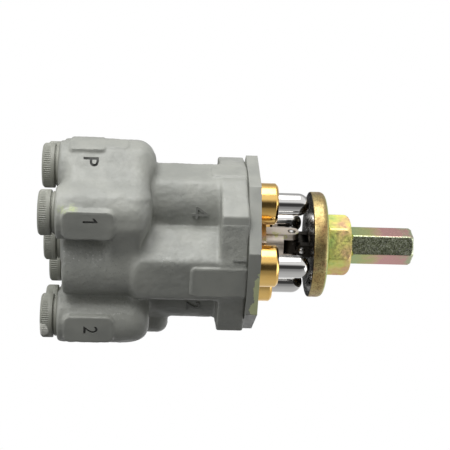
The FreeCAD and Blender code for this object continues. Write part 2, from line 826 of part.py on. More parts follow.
def upper_yoke():
    """The upper yoke: two ears below, and a stepped stud for the disc, nut and stem."""
    radius, half = size("yoke_radius"), size("upper_ear_half_width")
    disc_bottom, slot_half = size("disc_height"), size("yoke_slot")
    bridge = UPPER_PIN + size("cross_upper_radius") + GAP
    form = fuse("upper_yoke_form", [
        block("upper_cheeks", (-half, -radius, UPPER_PIN), half * 2, radius * 2, disc_bottom - UPPER_PIN),
        level_cylinder("upper_rounds", half, (0, -radius, UPPER_PIN), radius * 2, (0, 1)),
        cylinder("upper_stud", size("stud_radius"), NUT_TOP - disc_bottom, (0, 0, disc_bottom)),
        cylinder("upper_bridge", radius, disc_bottom - bridge, (0, 0, bridge)),
        cylinder("stem_stud", size("stem_stud_radius"), size("stem_stud_length"), (0, 0, NUT_TOP)),
    ])
    low = UPPER_PIN - half
    slot = block("upper_slot", (-half, -slot_half, low), half * 2, slot_half * 2, bridge - low)
    bore = level_cylinder("upper_pin_bore", size("pin_radius") + GAP, (0, -radius, UPPER_PIN), radius * 2, (0, 1))
    return cut("upper_yoke", form, [slot], [bore])


def disc():
    """The round plate that pushes the rods down when the lever tilts."""
    bore, rim = size("stud_radius") + GAP, size("disc_radius")
    height, chamfer = size("disc_thickness"), size("disc_chamfer")
    outline = [
        (bore, 0), (rim - chamfer, 0), (rim, chamfer),
        (rim, height - chamfer), (rim - chamfer, height), (bore, height),
    ]
    return turned("disc", outline, (0, 0, size("disc_height")))


def chamfered_hexagon(name, across, height, chamfer, at, both_ends):
    """A hexagonal bar whose corners are turned off at one end or both."""
    corner = across / (2 * math.cos(math.pi / 6))
    outline = [(0, 0), (corner, 0), (corner, height - chamfer), (corner - chamfer * 2, height), (0, height)]
    if both_ends:
        outline[1:2] = [(corner - chamfer * 2, 0), (corner, chamfer)]
    bar = hexagon(name + "_bar", across, height, at, 6, NUT_TURN)
    return common(name, bar, turned(name + "_ends", outline, at))


def adjusting_nut():
    """The hexagon nut that locks the disc, with a round face below."""
    collar, height = size("nut_collar_height"), size("nut_height")
    at = (0, 0, NUT_BOTTOM + collar)
    hexed = chamfered_hexagon("nut_hexagon", size("nut_across_flats"), height - collar, size("nut_chamfer"),
                              at, False)
    face = cylinder("nut_face", size("nut_collar_radius"), collar, (0, 0, NUT_BOTTOM))
    bore = cylinder("nut_bore", size("stud_radius") + GAP, height, (0, 0, NUT_BOTTOM))
    return cut("adjusting_nut", fuse("nut_form", [hexed, face]), [bore])


def lever_stem():
    """The long hexagon that takes the lever in its upper end."""
    length, depth = size("stem_length"), size("lever_thread_depth")
    hexed = chamfered_hexagon("stem_hexagon", size("stem_across_flats"), length, size("stem_chamfer"),
                              (0, 0, NUT_TOP), True)
    socket_depth = size("stem_stud_length") + size("thread_runout")
    socket = cylinder("stem_socket", size("stem_stud_radius") + GAP, socket_depth, (0, 0, NUT_TOP))
    thread = cylinder("lever_thread", size("lever_thread_radius"), depth, (0, 0, STEM_TOP - depth))
    return cut("lever_stem", hexed, [socket, thread])


def build():
    """Every piece of the valve, in its own place."""
    pieces = [valve_body(), top_plate(), joint_base(), cross(), upper_yoke(), disc(), adjusting_nut(),
              lever_stem()]
    pieces.append(joint_pin("lower_pin", size("lower_pin_height"), ((0, 1, 0), 90.0)))
    pieces.append(joint_pin("upper_pin", UPPER_PIN, ((1, 0, 0), -90.0)))
    for number in RODS:
        pieces += [guide_plug(number), plug_ring(number), rod_seal(number), push_rod(number),
                   spring_retainer(number), centering_spring(number), metering_spring(number), spool(number)]
    pieces += [transport_cap(name, at) for name, at in port_places().items()]
    doc.recompute()
    return pieces


def check(pieces):
    """Stop if any object of the document, or any finished piece, is not sound."""
    for thing in doc.Objects:
        if "Invalid" in thing.State or "Error" in thing.State:
            raise RuntimeError("%s: %s" % (thing.Name, thing.State))
    for piece in pieces:
        if piece.Shape.isNull() or not piece.Shape.isValid() or len(piece.Shape.Solids) != 1:
            raise RuntimeError("%s is not one sound solid" % piece.Label)


def export(pieces):
    os.makedirs("parts", exist_ok=True)
    for piece in pieces:
        piece.Shape.exportStep("parts/%s.step" % piece.Label)
        print("%-20s %10.1f mm3" % (piece.Label, piece.Shape.Volume))


valve = build()
check(valve)
export(valve)
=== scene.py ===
"""The looks of the pilot control valve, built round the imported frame.

Sizes are in millimetres and are turned into metres by MM. +Z runs up the lever stem.
"""

import copy
import json
import math

import bmesh
import bpy
import numpy as np
import openvdb
from mathutils import Matrix, Vector, noise
from mathutils.bvhtree import BVHTree


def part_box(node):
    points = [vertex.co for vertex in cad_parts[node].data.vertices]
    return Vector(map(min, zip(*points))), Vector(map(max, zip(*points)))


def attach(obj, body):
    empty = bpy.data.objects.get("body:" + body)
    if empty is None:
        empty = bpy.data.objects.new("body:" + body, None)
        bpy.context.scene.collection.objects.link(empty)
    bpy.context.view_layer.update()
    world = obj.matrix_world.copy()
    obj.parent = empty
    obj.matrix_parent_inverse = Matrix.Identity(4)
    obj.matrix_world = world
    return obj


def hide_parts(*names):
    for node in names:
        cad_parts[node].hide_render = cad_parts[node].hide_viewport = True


MM = 0.001
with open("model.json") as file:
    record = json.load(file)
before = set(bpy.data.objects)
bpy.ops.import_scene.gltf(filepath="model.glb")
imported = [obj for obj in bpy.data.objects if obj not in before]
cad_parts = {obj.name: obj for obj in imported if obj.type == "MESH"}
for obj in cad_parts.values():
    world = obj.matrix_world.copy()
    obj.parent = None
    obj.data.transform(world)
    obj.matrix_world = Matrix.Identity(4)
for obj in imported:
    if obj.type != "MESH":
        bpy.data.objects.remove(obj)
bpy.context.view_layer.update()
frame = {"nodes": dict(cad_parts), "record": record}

# Layout, as the frame has it.
ROD_SIDES = {1: (0, -1), 2: (1, 0), 3: (0, 1), 4: (-1, 0)}
PORT_SIDES = {1: (-1, -1), 2: (1, -1), 3: (1, 1), 4: (-1, 1)}
ROD_CIRCLE = 20.0
PORT_X, PORT_Y = 25.7, 23.6
FEED_OFFSET = 36.0
PORTS = {"p": (-FEED_OFFSET, 0), "t": (FEED_OFFSET, 0), "center": (0, 0)}
PORTS.update({str(n): (PORT_X * x, PORT_Y * y) for n, (x, y) in PORT_SIDES.items()})
RODS = {n: (ROD_CIRCLE * x, ROD_CIRCLE * y) for n, (x, y) in ROD_SIDES.items()}

# The camera, from the photograph. Angles are in degrees.
AZIMUTH = -29.0
ELEVATION = -3.3
ROLL = -1.5
DISTANCE = 550.0
LENS = 97.8
SENSOR = 36.0
TARGET_UP = 7.65
TARGET_ALONG = -13.5

UP = Vector((0, 0, 1))

# The point that the lamps shine at, in metres.
LAMP_AIM = Vector((0, 0, -0.02))

# Brightness round the room, as degrees from the camera towards the image's top, and a level.
SOFT_LIGHT = [(-180, 0.12), (-135, 0.02), (-60, 0.02), (0, 0.10), (45, 0.25), (90, 0.42), (140, 0.38), (180, 0.12)]
ROOM_STRIPS = [
    (-180, 0.9), (-150, 0.8), (-128, 0.58), (-95, 0.6), (-60, 0.5), (-42, 0.33), (-28, 0.28), (-20, 0.06), (6, 0.05),
    (14, 0.35), (24, 0.95), (100, 1.0), (128, 0.4), (150, 0.5), (180, 0.9),
]
# Where the camera stands on a ramp that starts at -X. AZIMUTH starts at -Y, a quarter turn on.
CAMERA_SHARE = (90 + AZIMUTH) / 360

# A radius below this one lies on the axis of a turned piece.
ON_AXIS = 1e-6
# How much of a hexagon's corner is left when its tip is turned off.
CORNER_LEFT = 0.985


def heights(node):
    """The lowest and highest points of a node, in millimetres."""
    low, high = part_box(node)
    return low.z / MM, high.z / MM


def corner_angle(node):
    """Where the corners of a hexagon bar stand, as an angle in radians."""
    far = max((v.co for v in frame["nodes"][node].data.vertices), key=lambda p: p.x ** 2 + p.y ** 2)
    return math.atan2(far.y, far.x) % (math.pi / 3)


def view_axes():
    """The camera's right, up and back directions, with the stem pointing right."""
    a, e, r = (math.radians(x) for x in (AZIMUTH, ELEVATION, ROLL))
    back = Vector((math.sin(a) * math.cos(e), -math.cos(a) * math.cos(e), math.sin(e)))
    along = (UP - back * back.z).normalized()
    across = back.cross(along)
    right = along * math.cos(r) - across * math.sin(r)
    up = across * math.cos(r) + along * math.sin(r)
    return right, up, back


def level(degrees):
    """A level direction, from its angle to +X."""
    angle = math.radians(degrees)
    return Vector((math.cos(angle), math.sin(angle), 0))


def add_object(name, data):
    """A new object in the scene."""
    thing = bpy.data.objects.new(name, data)
    bpy.context.scene.collection.objects.link(thing)
    return thing


def make_camera():
    """A camera that sees the valve on its side, with the stem to the right."""
    right, up, back = view_axes()
    level_up = Vector((up.x, up.y, 0)).normalized()
    target = (level_up * TARGET_UP + UP * TARGET_ALONG) * MM
    data = bpy.data.cameras.new("camera")
    data.sensor_width = SENSOR
    data.lens = LENS
    data.clip_start, data.clip_end = 0.01, 20.0
    camera = add_object("camera", data)
    turn = Matrix((right, up, back)).transposed().to_4x4()
    camera.matrix_world = Matrix.Translation(target + back * DISTANCE * MM) @ turn
    bpy.context.scene.camera = camera


def make_lamps():
    """Square soft lamps. Each has a direction, a distance and a width in metres, and its watts."""
    _, up, back = view_axes()
    lamps = {
        "key_lamp": (up + back * 0.3, 1.1, 0.8, 6.9),
        "front_lamp": (back * 0.9 + up - UP * 0.35, 1.2, 0.5, 5.2),
        "left_lamp": (back + up * 0.2 - UP * 1.2, 0.5, 0.3, 0.55),
        "top_lamp": (Vector((0.1, -0.2, 1.0)), 1.2, 0.8, 3.0),
    }
    for name, (direction, distance, width, watts) in lamps.items():
        data = bpy.data.lights.new(name, "AREA")
        data.shape = "SQUARE"
        data.size = width
        data.energy = watts
        lamp = add_object(name, data)
        direction = direction.normalized()
        lamp.location = direction * distance + LAMP_AIM
        lamp.rotation_mode = "QUATERNION"
        lamp.rotation_quaternion = direction.to_track_quat("Z", "Y")


def link(tree, source, socket):
    """Join a socket to an input, or set the input to a plain value."""
    if isinstance(source, bpy.types.NodeSocket):
        tree.links.new(source, socket)
    else:
        socket.default_value = source


def fed_node(tree, kind, source, socket=0):
    """A shader node of some kind, with one input joined to a source."""
    node = tree.nodes.new("ShaderNode" + kind)
    tree.links.new(source, node.inputs[socket])
    return node


def math_node(tree, operation, *sources):
    """A node that reckons with sockets or values."""
    node = tree.nodes.new("ShaderNodeMath")
    node.operation = operation
    for source, socket in zip(sources, node.inputs):
        link(tree, source, socket)
    return node


def range_node(tree, value, low, high, to_low=0.0, to_high=1.0, kind="LINEAR"):
    """Turn one range of values into another, and hold it at both ends."""
    node = fed_node(tree, "MapRange", value, "Value")
    node.interpolation_type = kind
    for name, number in zip(("From Min", "From Max", "To Min", "To Max"), (low, high, to_low, to_high)):
        node.inputs[name].default_value = number
    return node.outputs["Result"]


def ramp_node(tree, value, stops):
    """Colours along a value. Each stop is a place and a colour."""
    node = fed_node(tree, "ValToRGB", value, "Fac")
    elements = node.color_ramp.elements
    while len(elements) < len(stops):
        elements.new(0.5)
    for element, (place, color) in zip(elements, stops):
        element.position = place
        element.color = (*color, 1.0)
    return node.outputs["Color"]


def mixed_light(tree, share, first, second):
    """Two kinds of light, mixed by a share."""
    node = tree.nodes.new("ShaderNodeMixShader")
    for source, socket in zip((share, first, second), node.inputs):
        tree.links.new(source, socket)
    return node.outputs[0]


def round_room(levels):
    """Stops for a ramp that runs once round the Z axis."""
    return sorted(((CAMERA_SHARE - degrees / 360) % 1.0, (shade, shade, shade)) for degrees, shade in levels)


def make_world():
    """White to the camera, soft light on the surfaces, and a striped room for metal to mirror.

    Behind the object and towards its lower side, the room that metal mirrors is dark.
    """
    world = bpy.data.worlds.new("studio")
    bpy.context.scene.world = world
    world.use_nodes = True
    tree = world.node_tree
    tree.nodes.clear()
    path = tree.nodes.new("ShaderNodeLightPath").outputs
    place = tree.nodes.new("ShaderNodeTexCoord").outputs["Generated"]
    split = fed_node(tree, "SeparateXYZ", place)
    angle = math_node(tree, "ARCTAN2", split.outputs["Y"], split.outputs["X"]).outputs[0]
    share = range_node(tree, angle, -math.pi, math.pi)
    soft, room, white = (tree.nodes.new("ShaderNodeBackground") for _ in range(3))
    for shade, levels in ((soft, SOFT_LIGHT), (room, ROOM_STRIPS)):
        tree.links.new(ramp_node(tree, share, round_room(levels)), shade.inputs["Color"])
    white.inputs["Color"].default_value = (1, 1, 1, 1)

    behind = fed_node(tree, "VectorMath", place)
    behind.operation = "DOT_PRODUCT"
    behind.inputs[1].default_value = -view_axes()[2]
    away = range_node(tree, behind.outputs["Value"], 0.75, 0.9)
    darkening = range_node(tree, split.outputs["Z"], -0.03, -0.06, 0.0, -0.95)
    screen = math_node(tree, "MULTIPLY_ADD", away, darkening, 1.0).outputs[0]
    tree.links.new(screen, room.inputs["Strength"])

    mirrored = mixed_light(tree, path["Is Glossy Ray"], soft.outputs[0], room.outputs[0])
    clear = math_node(tree, "MAXIMUM", path["Is Camera Ray"], path["Is Transmission Ray"]).outputs[0]
    output = tree.nodes.new("ShaderNodeOutputWorld")
    tree.links.new(mixed_light(tree, clear, mirrored, white.outputs[0]), output.inputs["Surface"])


class Finish:
    """One node material, built by short calls. Patterns are measured in millimetres."""

    def __init__(self, name, metallic=0.0):
        self.material = bpy.data.materials.new(name)
        self.material.use_nodes = True
        self.tree = self.material.node_tree
        self.shader = self.tree.nodes["Principled BSDF"]
        self.shader.inputs["Metallic"].default_value = metallic
        scale = fed_node(self.tree, "VectorMath", self.tree.nodes.new("ShaderNodeTexCoord").outputs["Object"])
        scale.operation = "SCALE"
        scale.inputs["Scale"].default_value = 1 / MM
        self.place = scale.outputs[0]

    def set(self, socket, source):
        """Give the shader's socket a pattern or a plain value."""
        link(self.tree, source, self.shader.inputs[socket])

    def attribute(self, name):
        """A number that the mesh carries at its points."""
        node = self.tree.nodes.new("ShaderNodeAttribute")
        node.attribute_name = name
        return node.outputs["Fac"]

    def height(self):
        """The height along Z."""
        return fed_node(self.tree, "SeparateXYZ", self.place).outputs["Z"]

    def mapped(self, offset=(0, 0, 0), stretch=(1, 1, 1)):
        """The place, stretched and then moved."""
        node = fed_node(self.tree, "Mapping", self.place, "Vector")
        node.inputs["Location"].default_value = offset
        node.inputs["Scale"].default_value = stretch
        return node.outputs[0]

    def near(self, centre, reach):
        """1 at a point, and nought outside an upright ellipsoid round it."""
        mapped = self.mapped([-c / r for c, r in zip(centre, reach)], [1 / r for r in reach])
        length = fed_node(self.tree, "VectorMath", mapped)
        length.operation = "LENGTH"
        node = math_node(self.tree, "SUBTRACT", 1.0, length.outputs["Value"])
        node.use_clamp = True
        return node.outputs[0]

    def noise(self, size, detail=2.0, rough=0.5, place=None):
        """Noise whose blobs are about that many millimetres across."""
        node = fed_node(self.tree, "TexNoise", place or self.place, "Vector")
        node.inputs["Scale"].default_value = 1 / size
        node.inputs["Detail"].default_value = detail
        node.inputs["Roughness"].default_value = rough
        return node.outputs["Fac"]

    def math(self, operation, first, second):
        """Reckon with two sockets or values."""
        return math_node(self.tree, operation, first, second).outputs[0]

    def span(self, value, low, high, to_low=0.0, to_high=1.0):
        """Turn one range of values into another, with soft ends."""
        return range_node(self.tree, value, low, high, to_low, to_high, "SMOOTHSTEP")

    def satin(self, low, high, size=1.4, detail=4.0, rough=0.7):
        """A roughness that drifts between two levels."""
        self.set("Roughness", self.span(self.noise(size, detail, rough), 0.3, 0.7, low, high))

    def ramp(self, value, stops):
        """Colours along a value."""
        return ramp_node(self.tree, value, stops)

    def mix(self, share, first, second):
        """Two colours, mixed by a share."""
        node = self.tree.nodes.new("ShaderNodeMix")
        node.data_type = "RGBA"
        link(self.tree, share, node.inputs["Factor"])
        for value, name in ((first, "A"), (second, "B")):
            socket = [s for s in node.inputs if s.name == name and s.type == "RGBA"][0]
            link(self.tree, value if isinstance(value, bpy.types.NodeSocket) else (*value, 1.0), socket)
        return [s for s in node.outputs if s.type == "RGBA"][0]

    def bump(self, height, depth):
        """Raise the surface by a height field, where 1 stands for that depth in millimetres."""
        node = fed_node(self.tree, "Bump", height, "Height")
        node.inputs["Strength"].default_value = 1.0
        node.inputs["Distance"].default_value = depth * MM
        before = self.shader.inputs["Normal"]
        if before.is_linked:
            self.tree.links.new(before.links[0].from_socket, node.inputs["Normal"])
        self.tree.links.new(node.outputs[0], before)


PAINT = (0.325, 0.333, 0.305)
PAINT_LIGHT = (0.385, 0.392, 0.355)
PAINT_DARK = (0.215, 0.222, 0.210)
PALE_ZINC = (0.44, 0.50, 0.26)
# The tone of the highlights painted on the paint's rough ridges.
PAINTED_GLINT_TONE = (0.62, 0.62, 0.60)
# The tone of the shade painted in and on the marks.
MARK_SHADE_TONE = (0.05, 0.05, 0.05)
BLACK_OXIDE = (0.035, 0.030, 0.025)

# Where the plate's paint is chipped off: a centre and a reach.
CHIPS = [((4.5, -36.3, 0.6), (13.5, 5.0, 4.2)), ((12.0, -36.3, -1.0), (5.0, 5.0, 4.0))]
# Moves the noise of the zinc to where its colours fall as in the photograph.
ZINC_OFFSET = (31, 7, 3)


def casting_paint():
    """Satin grey paint over a rough casting, with scuffs, highlights painted on rough ridges, and shade painted in and
    on the marks.
    """
    paint = Finish("casting_paint")
    grain = paint.attribute("grain")
    tone = paint.mix(paint.span(paint.noise(14.0, 3.0), 0.35, 0.65), PAINT, PAINT_LIGHT)
    dots = paint.span(paint.noise(0.9, 3.0, 0.6), 0.56, 0.74, 0.0, 0.22)
    tone = paint.mix(paint.math("MULTIPLY", dots, paint.span(grain, 0.3, 1.0, 0.8, 3.0)), tone, PAINT_DARK)
    scuff = paint.span(paint.noise(1.1, 4.0, 0.7), 0.42, 0.56)
    tone = paint.mix(paint.math("MULTIPLY", paint.attribute("scuff"), scuff), tone, PALE_ZINC)
    # Painted highlights: pale specks on the rough ridges, where they catch the light.
    glint = paint.span(paint.noise(1.0, 3.0, 0.7), 0.56, 0.72)
    tone = paint.mix(paint.math("MULTIPLY", paint.attribute("glint"), glint), tone, PAINTED_GLINT_TONE)
    # Painted shade: the marks are darkened where the shade attribute says.
    tone = paint.mix(paint.math("MULTIPLY", paint.attribute("shade"), 0.85), tone, MARK_SHADE_TONE)
    paint.set("Base Color", tone)
    paint.satin(0.34, 0.5, 3.0, 3.0, 0.5)
    for size, rough, depth in ((1.7, 0.55, 0.19), (0.7, 0.6, 0.16)):
        paint.bump(paint.math("MULTIPLY", paint.noise(size, 3.0, rough), grain), depth)
    return paint.material


def plate_paint():
    """The plate's paint: smoother, with a chipped patch that shows pale zinc near its rim."""
    paint = Finish("plate_paint")
    tone = paint.mix(paint.span(paint.noise(11.0, 3.0), 0.35, 0.65), PAINT, PAINT_LIGHT)
    tone = paint.mix(paint.span(paint.noise(0.8, 3.0, 0.6), 0.6, 0.8, 0.0, 0.3), tone, PAINT_DARK)
    chip = paint.math("MAXIMUM", *(paint.near(centre, reach) for centre, reach in CHIPS))
    torn = paint.math("MULTIPLY", paint.noise(2.2, 4.0, 0.65), 0.9)
    bare = paint.span(paint.math("ADD", chip, torn), 0.74, 0.78)
    zinc = paint.mix(paint.noise(5.0, 3.0), (0.62, 0.68, 0.34), (0.78, 0.82, 0.52))
    paint.set("Base Color", paint.mix(bare, tone, zinc))
    paint.satin(0.34, 0.48, 2.4, 3.0, 0.5)
    paint.bump(paint.noise(0.8, 3.0, 0.6), 0.045)
    paint.bump(paint.noise(3.0), 0.08)
    paint.bump(paint.math("SUBTRACT", 1.0, bare), 0.12)
    return paint.material


def cap_plastic():
    """Moulded grey plastic with a faint yellow cast, a little dust in the ribs and a white scuff."""
    plastic = Finish("cap_plastic")
    tone = plastic.mix(plastic.noise(6.0, 3.0), (0.26, 0.265, 0.225), (0.35, 0.355, 0.31))
    dust = plastic.span(plastic.noise(1.2, 4.0, 0.7), 0.55, 0.75, 0.0, 0.35)
    tone = plastic.mix(dust, tone, (0.45, 0.45, 0.40))
    white = plastic.span(plastic.attribute("scuff"), 0.35, 0.6)
    plastic.set("Base Color", plastic.mix(white, tone, (0.88, 0.88, 0.80)))
    plastic.satin(0.38, 0.55, 2.0, 3.0, 0.5)
    plastic.bump(plastic.noise(0.8, 3.0), 0.03)
    return plastic.material


# The plain metals: two tones, a roughness, and the depth of scratches and of turned lines.
METALS = {
    "plug_brass": ((0.86, 0.52, 0.13), (0.95, 0.66, 0.25), 0.16, 0.006, 0.004),
    "rod_chrome": ((0.66, 0.65, 0.63), (0.72, 0.71, 0.70), 0.06, 0.002, 0),
    "pin_steel": ((0.60, 0.58, 0.56), (0.70, 0.69, 0.68), 0.2, 0.004, 0),
    "inner_steel": ((0.52, 0.51, 0.50), (0.62, 0.61, 0.60), 0.3, 0.008, 0),
    "spring_steel": ((0.34, 0.33, 0.32), (0.44, 0.43, 0.42), 0.35, 0.008, 0),
}


def bright_metal(name, low, high, roughness, scratch, lines):
    """A turned or ground metal face: a slight change of tone, fine lines and small scratches."""
    metal = Finish(name, 1.0)
    metal.set("Base Color", metal.mix(metal.noise(7.0, 3.0), low, high))
    metal.satin(roughness * 0.75, roughness * 1.35, 2.5, 4.0, 0.6)
    metal.bump(metal.noise(0.5, 3.0, 0.6), scratch)
    if lines:
        metal.bump(metal.noise(0.12, place=metal.mapped(stretch=(0.01, 0.01, 1.0))), lines)
    return metal.material


def joint_steel():
    """Satin steel with a fleck of yellow zinc on the lower yoke, and black oxide on the pieces above it."""
    steel = Finish("joint_steel", 1.0)
    tone = steel.ramp(steel.noise(3.5), [
        (0.0, (0.60, 0.52, 0.44)), (0.60, (0.74, 0.66, 0.57)), (0.66, (0.62, 0.62, 0.24)), (0.72, (0.72, 0.64, 0.55))])
    worn = steel.span(steel.noise(1.6, 4.0, 0.7), 0.60, 0.72, 0.0, 0.5)
    black = steel.mix(worn, BLACK_OXIDE, (0.30, 0.27, 0.24))
    steel.set("Base Color", steel.mix(steel.attribute("dark"), tone, black))
    steel.satin(0.32, 0.48)
    return steel.material


def disc_zinc():
    """Brushed golden rim with darker grain, its green made lighter at the upper chamfer as a painted highlight, and an
    underside painted dark as a mirror's reflection, with pale painted reflections in patches.
    """
    low, high = heights("disc")
    zinc = Finish("disc_zinc", 1.0)
    tone = zinc.ramp(zinc.noise(8.0, place=zinc.mapped(ZINC_OFFSET)), [
        (0.25, (0.30, 0.18, 0.08)), (0.42, (0.46, 0.34, 0.14)), (0.55, (0.54, 0.44, 0.20)),
        (0.68, (0.42, 0.27, 0.14)), (0.8, (0.38, 0.42, 0.18))])
    fleck = zinc.span(zinc.noise(0.7, 4.0, 0.7), 0.50, 0.60, 0.0, 0.7)
    tone = zinc.mix(fleck, tone, (0.12, 0.08, 0.04))
    # Painted highlight: the green of the zinc, made lighter along the upper chamfer.
    chamfer = zinc.span(zinc.height(), high - 1.2, high - 0.5, 0.0, 0.8)
    tone = zinc.mix(chamfer, tone, (0.50, 0.60, 0.24))
    # Painted reflection: the underside is darkened as a dark mirror image, with pale patches where it mirrors bright
    # things.
    under = zinc.span(zinc.height(), low + 0.05, low + 0.5, 1.0, 0.0)
    pale_reflection_spots = zinc.span(zinc.noise(2.6, 3.0, 0.6), 0.60, 0.70)
    tone = zinc.mix(under, tone, zinc.mix(pale_reflection_spots, (0.055, 0.050, 0.040), (0.30, 0.29, 0.26)))
    zinc.set("Base Color", tone)
    rough = zinc.span(zinc.noise(1.4, 4.0, 0.7), 0.3, 0.7, 0.30, 0.5)
    zinc.set("Roughness", zinc.math("SUBTRACT", rough, zinc.math("MULTIPLY", under, 0.2)))
    zinc.bump(zinc.math("MULTIPLY", zinc.noise(0.5, 2.0, 0.6), zinc.math("SUBTRACT", 1.0, under)), 0.07)
    return zinc.material


def nut_zinc():
    """Yellow passivated zinc: its colour drifts from green through yellow to pink."""
    zinc = Finish("nut_zinc", 1.0)
    zinc.set("Base Color", zinc.ramp(zinc.noise(8.0, place=zinc.mapped(ZINC_OFFSET)), [
        (0.25, (0.58, 0.74, 0.26)), (0.42, (0.82, 0.82, 0.26)), (0.55, (0.88, 0.72, 0.30)),
        (0.66, (0.86, 0.56, 0.34)), (0.78, (0.54, 0.72, 0.28))]))
    zinc.satin(0.35, 0.7)
    zinc.bump(zinc.noise(0.6, 3.0, 0.65), 0.02)
    return zinc.material


def stem_zinc():
    """Green zinc that drifts to pink along the bar. One face in three is painted as a dark reflection: dark and
    speckled, with near-white flecks as painted glints.
    """
    low, high = heights("lever_stem")
    zinc = Finish("stem_zinc", 1.0)
    share = zinc.math("DIVIDE", zinc.math("SUBTRACT", zinc.height(), low), high - low)
    waver = zinc.math("MULTIPLY", zinc.math("SUBTRACT", zinc.noise(5.0), 0.5), 0.5)
    tone = zinc.ramp(zinc.math("ADD", share, waver), [
        (0.0, (0.46, 0.60, 0.30)), (0.25, (0.58, 0.60, 0.26)), (0.42, (0.74, 0.52, 0.36)),
        (0.55, (0.76, 0.42, 0.40)), (0.82, (0.72, 0.42, 0.38)), (0.93, (0.52, 0.56, 0.36))])
    # Painted reflection: faces marked dark take a dark speckled tone, with near-white painted glints.
    dark = zinc.attribute("dark")
    fleck = zinc.noise(0.55, 4.0, 0.75)
    shade = zinc.mix(zinc.span(fleck, 0.44, 0.54), (0.22, 0.25, 0.13), (0.62, 0.66, 0.48))
    tone = zinc.mix(dark, tone, shade)
    tone = zinc.mix(zinc.math("MULTIPLY", dark, zinc.span(fleck, 0.58, 0.64)), tone, (0.95, 0.95, 0.90))
    zinc.set("Base Color", tone)
    rough = zinc.span(zinc.noise(1.4, 4.0, 0.7), 0.3, 0.7, 0.12, 0.28)
    zinc.set("Roughness", zinc.math("ADD", rough, zinc.math("MULTIPLY", dark, 0.12)))
    zinc.bump(fleck, 0.012)
    return zinc.material


def seal_rubber():
    """Dull black rubber."""
    rubber = Finish("seal_rubber")
    rubber.set("Base Color", rubber.mix(rubber.noise(2.0, 3.0), (0.018, 0.018, 0.018), (0.035, 0.035, 0.034)))
    rubber.set("Roughness", 0.6)
    rubber.bump(rubber.noise(0.4), 0.01)
    return rubber.material


def make_materials():
    """The finish of each slot that the record names. A slot's own function has its name."""
    own = casting_paint, plate_paint, cap_plastic, joint_steel, disc_zinc, nut_zinc, stem_zinc, seal_rubber
    finishes = {make.__name__: make() for make in own}
    finishes.update({name: bright_metal(name, *look) for name, look in METALS.items()})
    return finishes


def put(name, mesh, body, slot, *nodes):
    """Show a mesh as a piece that rides on a body, has a slot's finish and stands for nodes."""
    piece = add_object(name, mesh)
    mesh.materials.clear()
    mesh.materials.append(MATERIALS[slot])
    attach(piece, body)
    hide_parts(*nodes)
    return piece


def smooth(mesh, degrees=40.0):
    """Shade a mesh smooth, apart from edges sharper than an angle."""
    mesh.polygons.foreach_set("use_smooth", [True] * len(mesh.polygons))
    mesh.set_sharp_from_angle(angle=math.radians(degrees))


def write_attribute(mesh, name, values):
    """Give a mesh a number at each of its points."""
    attribute = mesh.attributes.new(name, "FLOAT", "POINT")
    attribute.data.foreach_set("value", np.asarray(values, np.float32))


def read_points(mesh, kind="co"):
    """The places or normals of a mesh's points, one to a row."""
    values = np.zeros(len(mesh.vertices) * 3, np.float32)
    mesh.vertices.foreach_get(kind, values)
    return values.reshape(-1, 3)


def lifted(outline, low):
    """An outline, raised. Outlines are lists of (radius, height) points."""
    return [(radius, low + height) for radius, height in outline]


def rounded(outline, radius, steps=4, closed=False):
    """An outline with its corners rounded off. A corner takes less than half of its sides."""
    points = [Vector(p) for p in outline]
    result = []
    for i, corner in enumerate(points):
        if not closed and i in (0, len(points) - 1):
            result.append(corner)
            continue
        before, after = points[i - 1], points[(i + 1) % len(points)]
        reach = min(radius, (before - corner).length * 0.45, (after - corner).length * 0.45)
        start = corner + (before - corner).normalized() * reach
        end = corner + (after - corner).normalized() * reach
        for step in range(steps + 1):
            t = step / steps
            result.append(start * (1 - t) ** 2 + corner * 2 * t * (1 - t) + end * t ** 2)
    return [(p.x, p.y) for p in result]


def spin(name, rows, at=(0.0, 0.0), segments=96, shape=None):
    """A closed turned mesh. Each row is (radius, height), and shape may change a ring by its angle.

    shape takes the radius, the height and the angles, and gives radii and heights for the ring.
    """
    angles = np.linspace(0, 2 * math.pi, segments, endpoint=False)
    points, rings = [], []
    for radius, height in rows:
        if radius < ON_AXIS:
            rings.append([len(points)])
            points.append((at[0], at[1], height))
            continue
        radii, levels = shape(radius, height, angles) if shape else (radius, height)
        radii, levels = np.broadcast_to(radii, angles.shape), np.broadcast_to(levels, angles.shape)
        rings.append(list(range(len(points), len(points) + segments)))
        points += list(zip(at[0] + radii * np.cos(angles), at[1] + radii * np.sin(angles), levels))
    faces = []
    pairs = list(zip(rings, rings[1:]))
    if len(rings[0]) > 1 and len(rings[-1]) > 1:
        pairs.append((rings[-1], rings[0]))
    for low, high in pairs:
        for i in range(segments):
            j = (i + 1) % segments
            corners = low[i % len(low)], low[j % len(low)], high[j % len(high)], high[i % len(high)]
            faces.append(tuple(dict.fromkeys(corners)))
    mesh = bpy.data.meshes.new(name)
    mesh.from_pydata([tuple(c * MM for c in p) for p in points], [], faces)
    smooth(mesh)
    return mesh


def blind_spin(name, rows, at, segments, degrees, shape=None):
    """A turned piece with a blind hole in its lower end.

    Its outline meets the axis twice: where the outside ends, and at the floor of the hole.
    """
    top, floor = [i for i, (radius, _) in enumerate(rows) if radius < ON_AXIS]
    outer = spin(name, rows[:top + 1], at, segments, shape)
    inner = spin(name + "_hole", rows[floor:] + [rows[0]], at, segments, shape)
    work = bmesh.new()
    work.from_mesh(outer)
    work.from_mesh(inner)
    bmesh.ops.remove_doubles(work, verts=work.verts, dist=1e-7)
    bmesh.ops.recalc_face_normals(work, faces=work.faces)
    work.to_mesh(outer)
    work.free()
    smooth(outer, degrees)
    return outer


